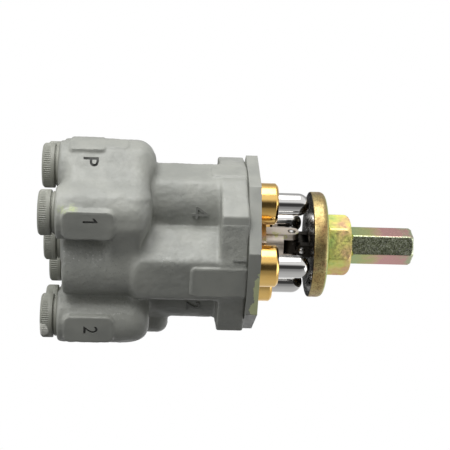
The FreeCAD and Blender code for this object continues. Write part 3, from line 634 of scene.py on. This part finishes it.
def hexagon(radius, angles, turn):
    """The radii of a hexagon bar at some angles. radius is half its width across flats."""
    local = (angles - turn) % (math.pi / 3) - math.pi / 6
    return np.minimum(radius / np.cos(local), radius / math.cos(math.pi / 6) * CORNER_LEFT)


def past_box(first, second):
    """The distance to a box, from how far a point lies past its sides in two directions."""
    outside = np.hypot(np.maximum(first, 0), np.maximum(second, 0))
    return outside + np.minimum(np.maximum(first, second), 0)


class Clay:
    """A field of distances on a grid, in millimetres. Shapes are blended in or cut away."""

    def __init__(self, low, high, cell):
        axes = [np.arange(a, b + cell, cell, dtype=np.float32) for a, b in zip(low, high)]
        self.low, self.cell = np.array(low, np.float32), cell
        self.x, self.y, self.z = np.meshgrid(*axes, indexing="ij", sparse=True)
        self.field = np.full([len(a) for a in axes], 1e3, np.float32)

    def empty(self):
        """Another field on the same grid, with nothing in it yet."""
        other = copy.copy(self)
        other.field = np.full_like(self.field, 1e3)
        return other

    def slab(self, flat, low, high, edge):
        """Raise a flat outline's distances between two heights, with rounded edges."""
        tall = np.abs(self.z - (low + high) / 2) - ((high - low) / 2 - edge)
        return past_box(flat + edge, tall) - edge

    def post(self, at, radius, low, high, edge=0.5):
        """An upright cylinder."""
        return self.slab(np.hypot(self.x - at[0], self.y - at[1]) - radius, low, high, edge)

    def block(self, at, half, turn, corner, low, high, edge):
        """An upright block with rounded upright edges, turned by an angle in degrees."""
        c, s = math.cos(math.radians(turn)), math.sin(math.radians(turn))
        x, y = self.x - at[0], self.y - at[1]
        across = np.abs(x * c + y * s) - (half[0] - corner)
        along = np.abs(y * c - x * s) - (half[1] - corner)
        return self.slab(past_box(across, along) - corner, low, high, edge)

    def pad(self, at, half, side, corner=3.0, edge=0.7):
        """A low block on one side whose outline has round corners. half is its width, depth and height."""
        x, y, z = np.abs(self.x - at[0]), np.abs(self.y - at[1]), np.abs(self.z - at[2])
        across, deep = (y, x) if side == "x" else (x, y)
        flat = past_box(across - (half[0] - corner), z - (half[2] - corner)) - corner + edge
        return past_box(flat, deep - half[1] + edge) - edge

    def add(self, shape, blend=0.01):
        """Blend a shape in."""
        mix = np.clip(0.5 + 0.5 * (self.field - shape) / blend, 0, 1)
        self.field = self.field * (1 - mix) + shape * mix - blend * mix * (1 - mix)

    def cut(self, shape, blend=0.01):
        """Take a shape away."""
        mix = np.clip(0.5 - 0.5 * (self.field + shape) / blend, 0, 1)
        self.field = self.field * (1 - mix) - shape * mix + blend * mix * (1 - mix)

    def keep(self, shape, blend=0.01):
        """Take away what lies outside a shape."""
        self.cut(-shape, blend)

    def mesh(self, name):
        """The surface where the distance is nought."""
        reach = self.cell * 3
        grid = openvdb.FloatGrid(reach)
        grid.copyFromArray(np.clip(self.field, -reach, reach))
        points, triangles, quads = grid.convertToPolygons(0.0, 0.0)
        mesh = bpy.data.meshes.new(name)
        points = (points * self.cell + self.low) * MM
        mesh.from_pydata(points.tolist(), [], triangles[:, ::-1].tolist() + quads.tolist())
        return mesh


# The casting's heights.
BODY_LOW, BODY_HIGH = heights("valve_body")
FLANGE_LOW = BODY_HIGH - 11.8
WAIST_LOW = FLANGE_LOW - 29.5
COLUMN_LOW = WAIST_LOW - 7.5
BLOCK_LOW = BODY_LOW + 2.5

# Its columns, and the drafted sides of columns 1 and 3. NO_DRAFT moves that cut off the other two.
WAIST_CORE = 24.0
COLUMN_RADIUS = 17.0
COLUMN_FACE = 34.8
DRAFT_SIDE = math.radians(62.0)
DRAFT_REACH = 24.5
NO_DRAFT = 30.0

# Its flange, whose faces slope a little to both sides, and the machined pads on them.
FLANGE_SLOPE = math.radians(16.6)
FLANGE_REACH = 35.6
PAD_REACH = 35.8
PAD_HALF = {"x": 5.0, "y": 7.25}
PAD_DROP = {"x": 16.0, "y": 24.0}
PAD_DEPTH = 6.0

# Its port block. Tops are heights over WAIST_LOW.
BLOCK_CORE = 26.0
CONE_RISE = 7.0
LOWER_COLUMN_RADIUS = 14.0
BOSS_RADIUS = 11.0
BOSS_TOP = {"p": 1.5, "t": 8.5}
BOSS_SHOULDER = {"t": 5.0}
WALL_HALF = 10.0
PORT_PAD_HALF = 6.75
PORT_PAD_DEPTH = 5.0
PORT_PAD_PROUD = 0.4
WORK_REACH = PORT_Y + BOSS_RADIUS + PORT_PAD_PROUD
FEED_REACH = FEED_OFFSET + BOSS_RADIUS + PORT_PAD_PROUD
# Half the width, and the height, of the two pads on a feed port's boss.
FEED_PADS = ((6.3, 15.0), (4.0, 25.0))

# Its bores: radius, bottom and top.
PLUG_SEAT = BODY_HIGH - 3.0
ROD_BORES = (
    (11.05, PLUG_SEAT, BODY_HIGH + 5), (8.65, BODY_HIGH - 16.8, BODY_HIGH + 5),
    (8.1, BODY_HIGH - 46.0, BODY_HIGH), (3.5, BODY_LOW + 6.5, BODY_HIGH - 20),
)
PORT_BORE = (5.9, BODY_LOW - 5, BODY_LOW + 14)
JOINT_BORE = (6.05, BODY_HIGH - 13, BODY_HIGH + 5)
BOLT_HOLE = (2.5, -15.0, 5.0)
BOLT_OFFSET = 21


def shape_waist(clay):
    """Four columns round a core, each with a flat cast face."""
    clay.add(clay.post((0, 0), WAIST_CORE, WAIST_LOW - 8, BODY_HIGH - 1))
    columns = clay.empty()
    for at in RODS.values():
        columns.add(columns.post(at, COLUMN_RADIUS, COLUMN_LOW, BODY_HIGH - 9, 5.0), 0.5)
        columns.add(columns.post(at, COLUMN_RADIUS, COLUMN_LOW + 8, BODY_HIGH - 1, 0.8))
    x, y = np.abs(clay.x), np.abs(clay.y)
    columns.keep(np.maximum(x, y) - COLUMN_FACE, 1.2)
    drafted = x * math.sin(DRAFT_SIDE) + y * math.cos(DRAFT_SIDE) - DRAFT_REACH
    columns.keep(drafted - np.where(x > y, NO_DRAFT, 0.0), 0.8)
    clay.add(columns.field, 3.0)


def shape_flange(clay):
    """The square head and the machined pads on its faces."""
    x, y = np.abs(clay.x), np.abs(clay.y)
    s, c = math.sin(FLANGE_SLOPE), math.cos(FLANGE_SLOPE)
    outline = np.maximum(x * s + y * c, x * c + y * s) - FLANGE_REACH
    outline = np.maximum(outline, np.maximum(x, y) - COLUMN_FACE)
    clay.add(clay.slab(outline, FLANGE_LOW, BODY_HIGH, 0.9), 1.5)
    for x, y in ROD_SIDES.values():
        side = "x" if x else "y"
        half = (PAD_HALF[side], PAD_DEPTH, PAD_DROP[side] / 2 + 1.5)
        at = (x * (PAD_REACH - PAD_DEPTH), y * (PAD_REACH - PAD_DEPTH), BODY_HIGH - PAD_DROP[side] + half[2])
        clay.add(clay.pad(at, half, side, 2.0), 0.4)
    clay.cut(clay.post((0, 0), 60.0, BODY_HIGH, BODY_HIGH + 9, 0.1))


def port_walls():
    """The walls between bosses, and between bosses and columns: both ends, bottom, top and edge radius."""
    walls = []
    for ends in ("p1", "4p", "2t", "t3"):
        drop, edge = (1.0, 6.0) if "p" in ends else (8.0, 1.5)
        walls.append((PORTS[ends[0]], PORTS[ends[1]], BODY_LOW + 1.5, WAIST_LOW - drop, edge))
    for n in (1, 3):
        walls.append((PORTS[str(n)], RODS[n], WAIST_LOW - 17.5, WAIST_LOW - 4.5, 1.5))
    return walls


def shape_port_block(clay):
    """The lower half: a core, lower columns, six bosses with round shoulders, and their walls."""
    clay.add(clay.post((0, 0), BLOCK_CORE, BLOCK_LOW, WAIST_LOW, 2.0), 2.5)
    taper = (BLOCK_CORE - WAIST_CORE) * np.clip((clay.z - WAIST_LOW) / CONE_RISE, 0, 1)
    cone = np.hypot(clay.x, clay.y) - (BLOCK_CORE - taper)
    clay.add(np.maximum(cone, np.maximum(WAIST_LOW - 3 - clay.z, clay.z - WAIST_LOW - CONE_RISE)), 1.5)
    for at in RODS.values():
        clay.add(clay.post(at, LOWER_COLUMN_RADIUS, BLOCK_LOW, WAIST_LOW, 1.5), 2.5)
    block = clay.empty()
    for name, at in PORTS.items():
        if name == "center":
            continue
        top = WAIST_LOW + BOSS_TOP.get(name, 0.0)
        shoulder = BOSS_SHOULDER.get(name, 8.0)
        block.add(block.post(at, BOSS_RADIUS, BODY_LOW, top - shoulder, 1.2))
        block.add(block.post(at, BOSS_RADIUS, BODY_LOW + 4, top, shoulder))
    for first, second, low, high, edge in port_walls():
        a, b = Vector(first), Vector(second)
        turn = math.degrees(math.atan2(b.y - a.y, b.x - a.x))
        half = ((b - a).length / 2, WALL_HALF)
        block.add(block.block((a + b) / 2, half, turn, 0.5, low, high, edge), 4.0)
    clay.add(block.field, 3.0)
    clay.add(clay.post((0, 0), BOSS_RADIUS, BODY_LOW, BODY_LOW + 6, 1.2), 1.0)


def shape_port_pads(clay):
    """The flat faces on the bosses, which carry the port marks."""
    for x, y in PORT_SIDES.values():
        at = (PORT_X * x, (WORK_REACH - PORT_PAD_DEPTH) * y, BODY_LOW + 14.0)
        clay.add(clay.pad(at, (PORT_PAD_HALF, PORT_PAD_DEPTH, 10.8), "y"), 0.8)
    for side in (-1, 1):
        for half, tall in FEED_PADS:
            at = ((FEED_REACH - PORT_PAD_DEPTH) * side, 0, BODY_LOW + 4.5 + tall / 2)
            clay.add(clay.pad(at, (half, PORT_PAD_DEPTH, tall / 2), "x", 1.5), 0.8)


def bore_holes(clay):
    """The spring chambers, spool bores, ports, mounting holes and the joint's thread."""
    for at in RODS.values():
        for bore in ROD_BORES:
            clay.cut(clay.post(at, *bore, 0.05))
    for at in PORTS.values():
        clay.cut(clay.post(at, *PORT_BORE, 0.1))
    for x, y in PORT_SIDES.values():
        clay.cut(clay.post((BOLT_OFFSET * x, BOLT_OFFSET * y), *BOLT_HOLE, 0.1))
    clay.cut(clay.post((0, 0), *JOINT_BORE, 0.1))


# The unevenness of the cast skin: how often it comes in a millimetre, and its height.
LUMPS = ((0.16, 0.22), (0.55, 0.10), (1.1, 0.05))
# The skin keeps this far from the axes of the rods' and the ports' bores.
SKIN_FROM_ROD, SKIN_FROM_PORT = 11.3, 6.2
# A normal with this much along an axis faces squarely along it.
SQUARELY = 0.995


def cast_share(points, normals):
    """1 on the cast skin, less on machined faces, and nought in the bores and at both ends."""
    x, y, z = points.T
    share = np.ones(len(points), np.float32)
    share[(z > BODY_HIGH - 0.6) | (z < BODY_LOW + 0.6)] = 0
    for places, radius in ((RODS, SKIN_FROM_ROD), (PORTS, SKIN_FROM_PORT)):
        for at in places.values():
            share[np.hypot(x - at[0], y - at[1]) < radius] = 0
    facing = np.abs(normals[:, :2]).max(1) > SQUARELY
    flat = facing & (np.maximum(np.abs(x), np.abs(y)) > PAD_REACH - 0.3) & (np.minimum(np.abs(x), np.abs(y)) < 7.4)
    share[flat & (z > BODY_HIGH - PAD_DROP["y"] - 0.5)] = 0.1
    share[facing & (z < BODY_LOW + 24) & (np.abs(y) > WORK_REACH - 0.3)] = 0.25
    share[facing & (np.abs(x) > FEED_REACH - 0.3)] = 0.25
    return share


def cast_skin(mesh):
    """Move the points a little, as a sand casting's skin is uneven, but leave machined faces."""
    places, normals = read_points(mesh), read_points(mesh, "normal")
    points = places / MM
    amount = cast_share(points, normals)
    lift = np.zeros(len(points), np.float32)
    for i in np.nonzero(amount > 0.02)[0]:
        point = Vector(points[i])
        lift[i] = sum(noise.noise(point * often) * high for often, high in LUMPS)
    places += normals * (lift * amount * MM)[:, None]
    mesh.vertices.foreach_set("co", places.ravel())
    mesh.update()


# Outlines of two figures at size 1. The 4 has a hair's gap, so that its outline is one loop.
FIGURES = {
    "1": [(-0.06, -0.36), (0.06, -0.36), (0.06, 0.36), (-0.03, 0.36), (-0.22, 0.20), (-0.22, 0.10), (-0.06, 0.19)],
    "4": [(0.06, -0.36), (0.17, -0.36), (0.17, -0.19), (0.28, -0.19), (0.28, -0.09), (0.17, -0.09), (0.17, 0.36),
          (0.04, 0.36), (-0.27, -0.10), (-0.27, -0.19), (0.056, -0.19), (0.056, -0.09), (-0.145, -0.09), (0.06, 0.20)],
}

# Each mark: its text, its size, a point near the surface and the direction that it faces, in degrees.
STAMPED = [
    ("P", 9.2, (-42.6, -8.8, -73.0), 233),
    ("1", 8.4, (-27.7, -35.0, -71.6), 270),
    ("2", 8.6, (25.6, -35.0, -72.0), 270),
]
CAST = [
    ("4", 9.5, (-23.8, -16.6, -25.9), 250),
    ("1", 8.0, (-10.35, -33.5, -8.8), 236),
    ("2", 8.8, (23.4, -16.7, -27.4), 277),
]
# Each set of marks: how deep or high it is, how it is joined, and how much painted shade it gets.
MARK_SETS = [(STAMPED, 0.9, "DIFFERENCE", 1.0), (CAST, 0.8, "UNION", 0.55)]
# The painted shade reaches this far round a mark's middle, and is full at this distance from the plain surface.
MARK_SHADE_REACH, MARK_SHADE_DEPTH = 8, 0.5


def figure(outline, size, depth):
    """A figure's outline as a solid."""
    work = bmesh.new()
    face = work.faces.new([work.verts.new((x * size, y * size, -depth)) for x, y in outline])
    top = bmesh.ops.extrude_face_region(work, geom=[face])["geom"]
    bmesh.ops.translate(work, verts=[v for v in top if isinstance(v, bmesh.types.BMVert)], vec=(0, 0, depth * 2))
    bmesh.ops.recalc_face_normals(work, faces=work.faces)
    mesh = bpy.data.meshes.new("mark")
    work.to_mesh(mesh)
    work.free()
    return mesh


def final_mesh(thing):
    """An object's mesh, with its text or its modifiers applied."""
    bpy.context.view_layer.update()
    return bpy.data.meshes.new_from_object(thing.evaluated_get(bpy.context.evaluated_depsgraph_get()))


def lettered(text, size, depth):
    """A text in the built-in font as a solid, a little bolder than it comes."""
    curve = bpy.data.curves.new("mark", "FONT")
    curve.body = text
    curve.size = size
    curve.extrude = depth
    curve.offset = 0.012 * size
    curve.align_x = curve.align_y = "CENTER"
    curve.resolution_u = 4
    holder = add_object("mark", curve)
    mesh = final_mesh(holder)
    bpy.data.objects.remove(holder)
    return mesh


def mark(text, size, depth, at, facing):
    """A mark as a solid that is centred on a point of the surface and faces a level direction."""
    out = level(facing)
    turn = Matrix((UP.cross(out), UP, out)).transposed().to_4x4()
    mesh = figure(FIGURES[text], size, depth) if text in FIGURES else lettered(text, size, depth)
    mesh.transform(Matrix.Translation(at * MM) @ turn @ Matrix.Scale(MM, 4))
    return mesh


def on_surface(tree, at, facing):
    """Where a level line towards a point, from outside, meets the surface."""
    out = level(facing)
    hit, *_ = tree.ray_cast((Vector(at) + out * 12) * MM, -out)
    return hit / MM if hit else Vector(at)


def combine(target, tool_meshes, operation):
    """Apply solids to an object's mesh, as one boolean."""
    joined = bmesh.new()
    for mesh in tool_meshes:
        joined.from_mesh(mesh)
    bmesh.ops.remove_doubles(joined, verts=joined.verts, dist=1e-6)
    tool_mesh = bpy.data.meshes.new("tools")
    joined.to_mesh(tool_mesh)
    joined.free()
    tool = add_object("tools", tool_mesh)
    modifier = target.modifiers.new("marks", "BOOLEAN")
    modifier.operation = operation
    modifier.solver = "MANIFOLD"
    modifier.object = tool
    result = final_mesh(target)
    target.modifiers.clear()
    target.data = result
    bpy.data.objects.remove(tool)


# Where highlights are painted on the paint's rough ridges, where it is scuffed, and where it is roughest: a point and
# a reach.
PAINTED_GLINTS = [
    ((-9, -30.5, -70), 6), ((-9, -30.5, -80), 6), ((20, -30, -60), 6), ((14, -27, -56), 5), ((-9, -33.5, -40), 4)]
SCUFFS = [((-33.2, -34, -83.5), 3.2), ((-33.4, -33.2, -79), 3), ((-28.5, -31, -10.5), 2.2)]
ROUGH = [
    ((-12, -29, -80), 14), ((-12, -29, -68), 12), ((-2, -29, -80), 14), ((-2, -29, -66), 13), ((10, -26, -80), 12),
    ((10, -26, -66), 13), ((16, -27, -56), 9), ((-22, -31, -9), 12), ((-12, -34, -8), 9), ((-9, -33.5, -38), 7)]


def patches(points, places, strength):
    """1 in the middle of some places, and nought beyond their reach. Strength widens the middle."""
    values = np.zeros(len(points))
    for at, radius in places:
        values = np.maximum(values, 1 - np.linalg.norm(points - np.array(at), axis=1) / radius)
    return np.clip(values * strength, 0, 1)


def paint_casting(mesh, skin):
    """Say where the paint is grainy and scuffed, where highlights are painted on ridges, and where shade is painted in
    and on the marks.
    """
    points = read_points(mesh) / MM
    share = cast_share(points, read_points(mesh, "normal"))
    write_attribute(mesh, "scuff", patches(points, SCUFFS, 1.6))
    # Painted highlights on the rough ridges.
    write_attribute(mesh, "glint", patches(points, PAINTED_GLINTS, 1.5))
    write_attribute(mesh, "grain", 0.1 + share * (0.3 + 0.7 * patches(points, ROUGH, 2.5)))
    # Painted shade round each mark: darker the further a point lies from the plain surface.
    shade = np.zeros(len(points))
    for marks, _, _, mark_shade in MARK_SETS:
        for _, _, at, _ in marks:
            for i in np.nonzero(np.linalg.norm(points - np.array(at), axis=1) < MARK_SHADE_REACH)[0]:
                *_, distance = skin.find_nearest(Vector(points[i] * MM))
                shade[i] = max(shade[i], mark_shade * min(distance / MM / MARK_SHADE_DEPTH, 1))
    write_attribute(mesh, "shade", shade)


def make_casting():
    """The casting, modelled in clay, with an uneven skin and its marks."""
    cell = 0.6
    clay = Clay((-52, -42, BODY_LOW - 2), (52, 42, BODY_HIGH + 2), cell)
    shape_waist(clay)
    shape_flange(clay)
    shape_port_block(clay)
    shape_port_pads(clay)
    bore_holes(clay)
    mesh = clay.mesh("casting")
    smooth(mesh, 180)
    cast_skin(mesh)
    piece = put("casting", mesh, "housing", "casting_paint", "valve_body")
    tree = BVHTree.FromPolygons([v.co for v in mesh.vertices], [p.vertices for p in mesh.polygons])
    for marks, depth, operation, _ in MARK_SETS:
        tools = [mark(text, size, depth, on_surface(tree, at, facing), facing) for text, size, at, facing in marks]
        combine(piece, tools, operation)
    smooth(piece.data, 50)
    paint_casting(piece.data, tree)


# A port cap's outline: radius, and height above its outer end.
CAP_RADIUS = 9.7
CAP_OUTLINE = [
    (0, 0.7), (5.6, 0.7), (6.0, 0.1), (8.8, 0), (CAP_RADIUS, 0.9), (CAP_RADIUS, 3.8), (CAP_RADIUS, 5.4), (8.4, 5.4),
    (8.4, 6.0), (9.0, 6.0), (9.0, 7.2), (5.8, 7.2), (5.8, 16.6), (5.2, 17.2), (0, 17.2),
]
CAP_RIBS = 64
RIB_DEPTH = 0.16
RIB_ROWS = [(CAP_RADIUS, 1.4 + 0.42 * i) for i in range(6)]
# The white scuff on the cap of port 2: its centre from the port's axis and the cap's end, and its reach.
BLOB_AT, BLOB_REACH = (2.0, -9.6, 1.0), (4.0, 4.0, 3.0)


def make_cap(name):
    """A screwed cap: a ribbed head, a smooth ring, a groove and a flange."""
    low, _ = heights("port_cap_" + name)
    rows = rounded(CAP_OUTLINE, 0.35, 3)
    side = [i for i, (radius, height) in enumerate(rows) if radius > CAP_RADIUS - 0.05 and height > 1.15][0]
    rows = rows[:side] + RIB_ROWS + [row for row in rows[side:] if row[1] > 3.7]

    def ribs(radius, height, angles):
        if radius < CAP_RADIUS - 0.1 or not 1.0 < height - low < 3.6:
            return radius, height
        wave = np.maximum(np.cos(angles * CAP_RIBS), -0.55)
        return radius - RIB_DEPTH * (1 - wave), height

    mesh = spin("cap_" + name, lifted(rows, low), PORTS[name], CAP_RIBS * 6, ribs)
    blob = np.zeros(len(mesh.vertices))
    if name == "2":
        centre = np.array((*PORTS[name], low)) + BLOB_AT
        away = (read_points(mesh) / MM - centre) / BLOB_REACH
        blob = np.clip(1.4 - np.linalg.norm(away, axis=1), 0, 1)
    write_attribute(mesh, "scuff", blob)
    put("cap_" + name, mesh, "housing", "cap_plastic", "port_cap_" + name)


def make_plug(number):
    """A guide plug, with a groove for its O-ring and a recess for the rod's wiper."""
    low, high = heights(f"guide_plug_{number}")
    outline = [
        (5.06, low), (8.6, low), (8.6, low + 4.3), (6.15, low + 4.3), (6.15, low + 6.8), (8.6, low + 6.8),
        (8.6, PLUG_SEAT), (11.0, PLUG_SEAT), (11.0, BODY_HIGH), (9.2, BODY_HIGH), (9.2, high - 1.1), (8.1, high),
        (7.7, high), (7.6, high - 0.4), (7.6, high - 3.9), (5.06, high - 3.9),
    ]
    mesh = spin(f"plug_{number}", rounded(outline, 0.3, 3, True), RODS[number], 128)
    put(f"plug_{number}", mesh, "housing", "plug_brass", f"guide_plug_{number}")


def make_rod(number):
    """A push rod, with a foot, a round tip and a blind hole for the spool's head."""
    low, high = heights(f"push_rod_{number}")
    radius, hole, hole_top = 5.0, 3.9, low + 9.0
    foot = rounded([(hole, low), (7.0, low), (7.0, low + 2.0), (radius, low + 2.0)], 0.25, 3)
    turns = np.linspace(0, math.pi / 2, 20)
    tip = [(radius * math.cos(t), high - radius + radius * math.sin(t)) for t in turns]
    tip[-1] = (0, high)
    mesh = blind_spin(f"rod_{number}", foot + tip + [(0, hole_top), (hole, hole_top)], RODS[number], 96, 40)
    put(f"rod_{number}", mesh, f"push_rod_body_{number}", "rod_chrome", f"push_rod_{number}")


def make_disc():
    """The round plate that presses on the rods."""
    low, high = heights("disc")
    bore, radius = 7.05, 23.7
    outline = [
        (bore, low), (radius, low), (radius, high - 2.0), (radius - 0.6, high - 0.7), (21.8, high), (bore, high)]
    mesh = spin("disc_plate", rounded(outline, 0.9, 6, True), segments=192)
    put("disc_plate", mesh, "lever_body", "disc_zinc", "disc")


def make_nut():
    """A hexagon nut with a round face towards the disc and corners turned off on the stem's side."""
    low, high = heights("adjusting_nut")
    turn, round_off = corner_angle("adjusting_nut"), 3.4
    bore, half, collar, base = 7.05, 12.0, 12.5, low + 1.6
    rows = [(bore, low), (12.2, low), (collar, low + 0.3), (collar, base - 0.1), (half, base), (half, base + 0.4)]
    steps = (0.0, 0.25, 0.45, 0.6, 0.72, 0.82, 0.9, 0.96, 1.0)
    rows += [(half, high - round_off + round_off * t) for t in steps]
    rows += [(10.2, high), (7.5, high), (bore, high - 0.4)]

    def shape(radius, height, angles):
        if radius != half:
            return radius, height
        t = max(height - high + round_off, 0) / round_off
        turned = 13.9 - 3.2 * (1 - math.sqrt(max(1 - t * t, 0)))
        return np.minimum(hexagon(radius, angles, turn), turned), height

    mesh = spin("lock_nut", rows, segments=192, shape=shape)
    smooth(mesh, 25)
    put("lock_nut", mesh, "lever_body", "nut_zinc", "adjusting_nut")


def stem_faces(mesh, turn):
    """Which of the hexagon's faces each point is on, counted from the one that faces the camera."""
    sixth = math.pi / 3
    angles = np.array([math.atan2(v.co.y, v.co.x) for v in mesh.vertices])
    face = np.floor(((angles - turn) % (2 * math.pi)) / sixth + 1e-4)
    back = view_axes()[2]
    return face - math.floor(((math.atan2(back.y, back.x) - turn) % (2 * math.pi)) / sixth)


def make_stem():
    """The long hexagon bar with chamfered ends and a threaded hole for the lever."""
    low, high = heights("lever_stem")
    half, stud_hole, stud_depth = 7.3, 5.05, 11.0
    turn = corner_angle("lever_stem")
    rows = [(stud_hole, low), (half - 0.6, low), (half, low + 0.5), (half, (low + high) / 2), (half, high - 0.6),
            (half - 0.7, high), (5.1, high), (4.5, high - 0.8)]
    crest, root, pitch, depth = 4.25, 4.7, 1.25, 14.0
    for i in range(int(depth / pitch) * 2):
        rows.append((crest if i % 2 else root, high - 1.2 - i * pitch / 2))
    floor = rows[-1][1] - 0.5
    rows += [(4.0, floor), (0, floor - 1.5), (0, low + stud_depth), (stud_hole, low + stud_depth)]

    def shape(radius, height, angles):
        if radius < 6.0:
            return radius, height
        bar = hexagon(radius, angles, turn)
        drop = np.maximum(bar - 7.55, 0) * 0.9
        end = (height < low + 0.6) - (height > high - 0.7)
        return bar, height + end * drop

    mesh = blind_spin("stem", rows, (0, 0), 192, 30, shape)
    # Painted reflection: the face towards the camera and the one opposite are marked for a dark mirror tone.
    write_attribute(mesh, "dark", (stem_faces(mesh, turn) % 3 == 0).astype(float))
    put("stem", mesh, "lever_body", "stem_zinc", "lever_stem")


def dress_nodes():
    """Give the CAD nodes that stay their finish, and break the edges of the plate and joint."""
    slots = {s["node"]: s["material_slot"] for s in frame["record"]["subparts"]}
    bevels = {"top_plate": 0.7, "joint_base": 0.25, "cross": 0.2, "upper_yoke": 0.25}
    for name, dark in (("joint_base", 0.0), ("cross", 1.0), ("upper_yoke", 1.0)):
        mesh = frame["nodes"][name].data
        write_attribute(mesh, "dark", np.full(len(mesh.vertices), dark))
    for name, node in frame["nodes"].items():
        node.data.materials.clear()
        node.data.materials.append(MATERIALS[slots[name]])
        if name in bevels:
            weld = node.modifiers.new("weld", "WELD")
            weld.merge_threshold = 0.002 * MM
            bevel = node.modifiers.new("bevel", "BEVEL")
            bevel.width = bevels[name] * MM
            bevel.segments = 3
            bevel.limit_method = "ANGLE"
            bevel.angle_limit = math.radians(35)


make_camera()
make_lamps()
make_world()
MATERIALS = make_materials()
make_casting()
for port in PORTS:
    make_cap(port)
for rod in RODS:
    make_plug(rod)
    make_rod(rod)
make_disc()
make_nut()
make_stem()
dress_nodes()

bpy.context.scene.view_settings.view_transform = "Standard"
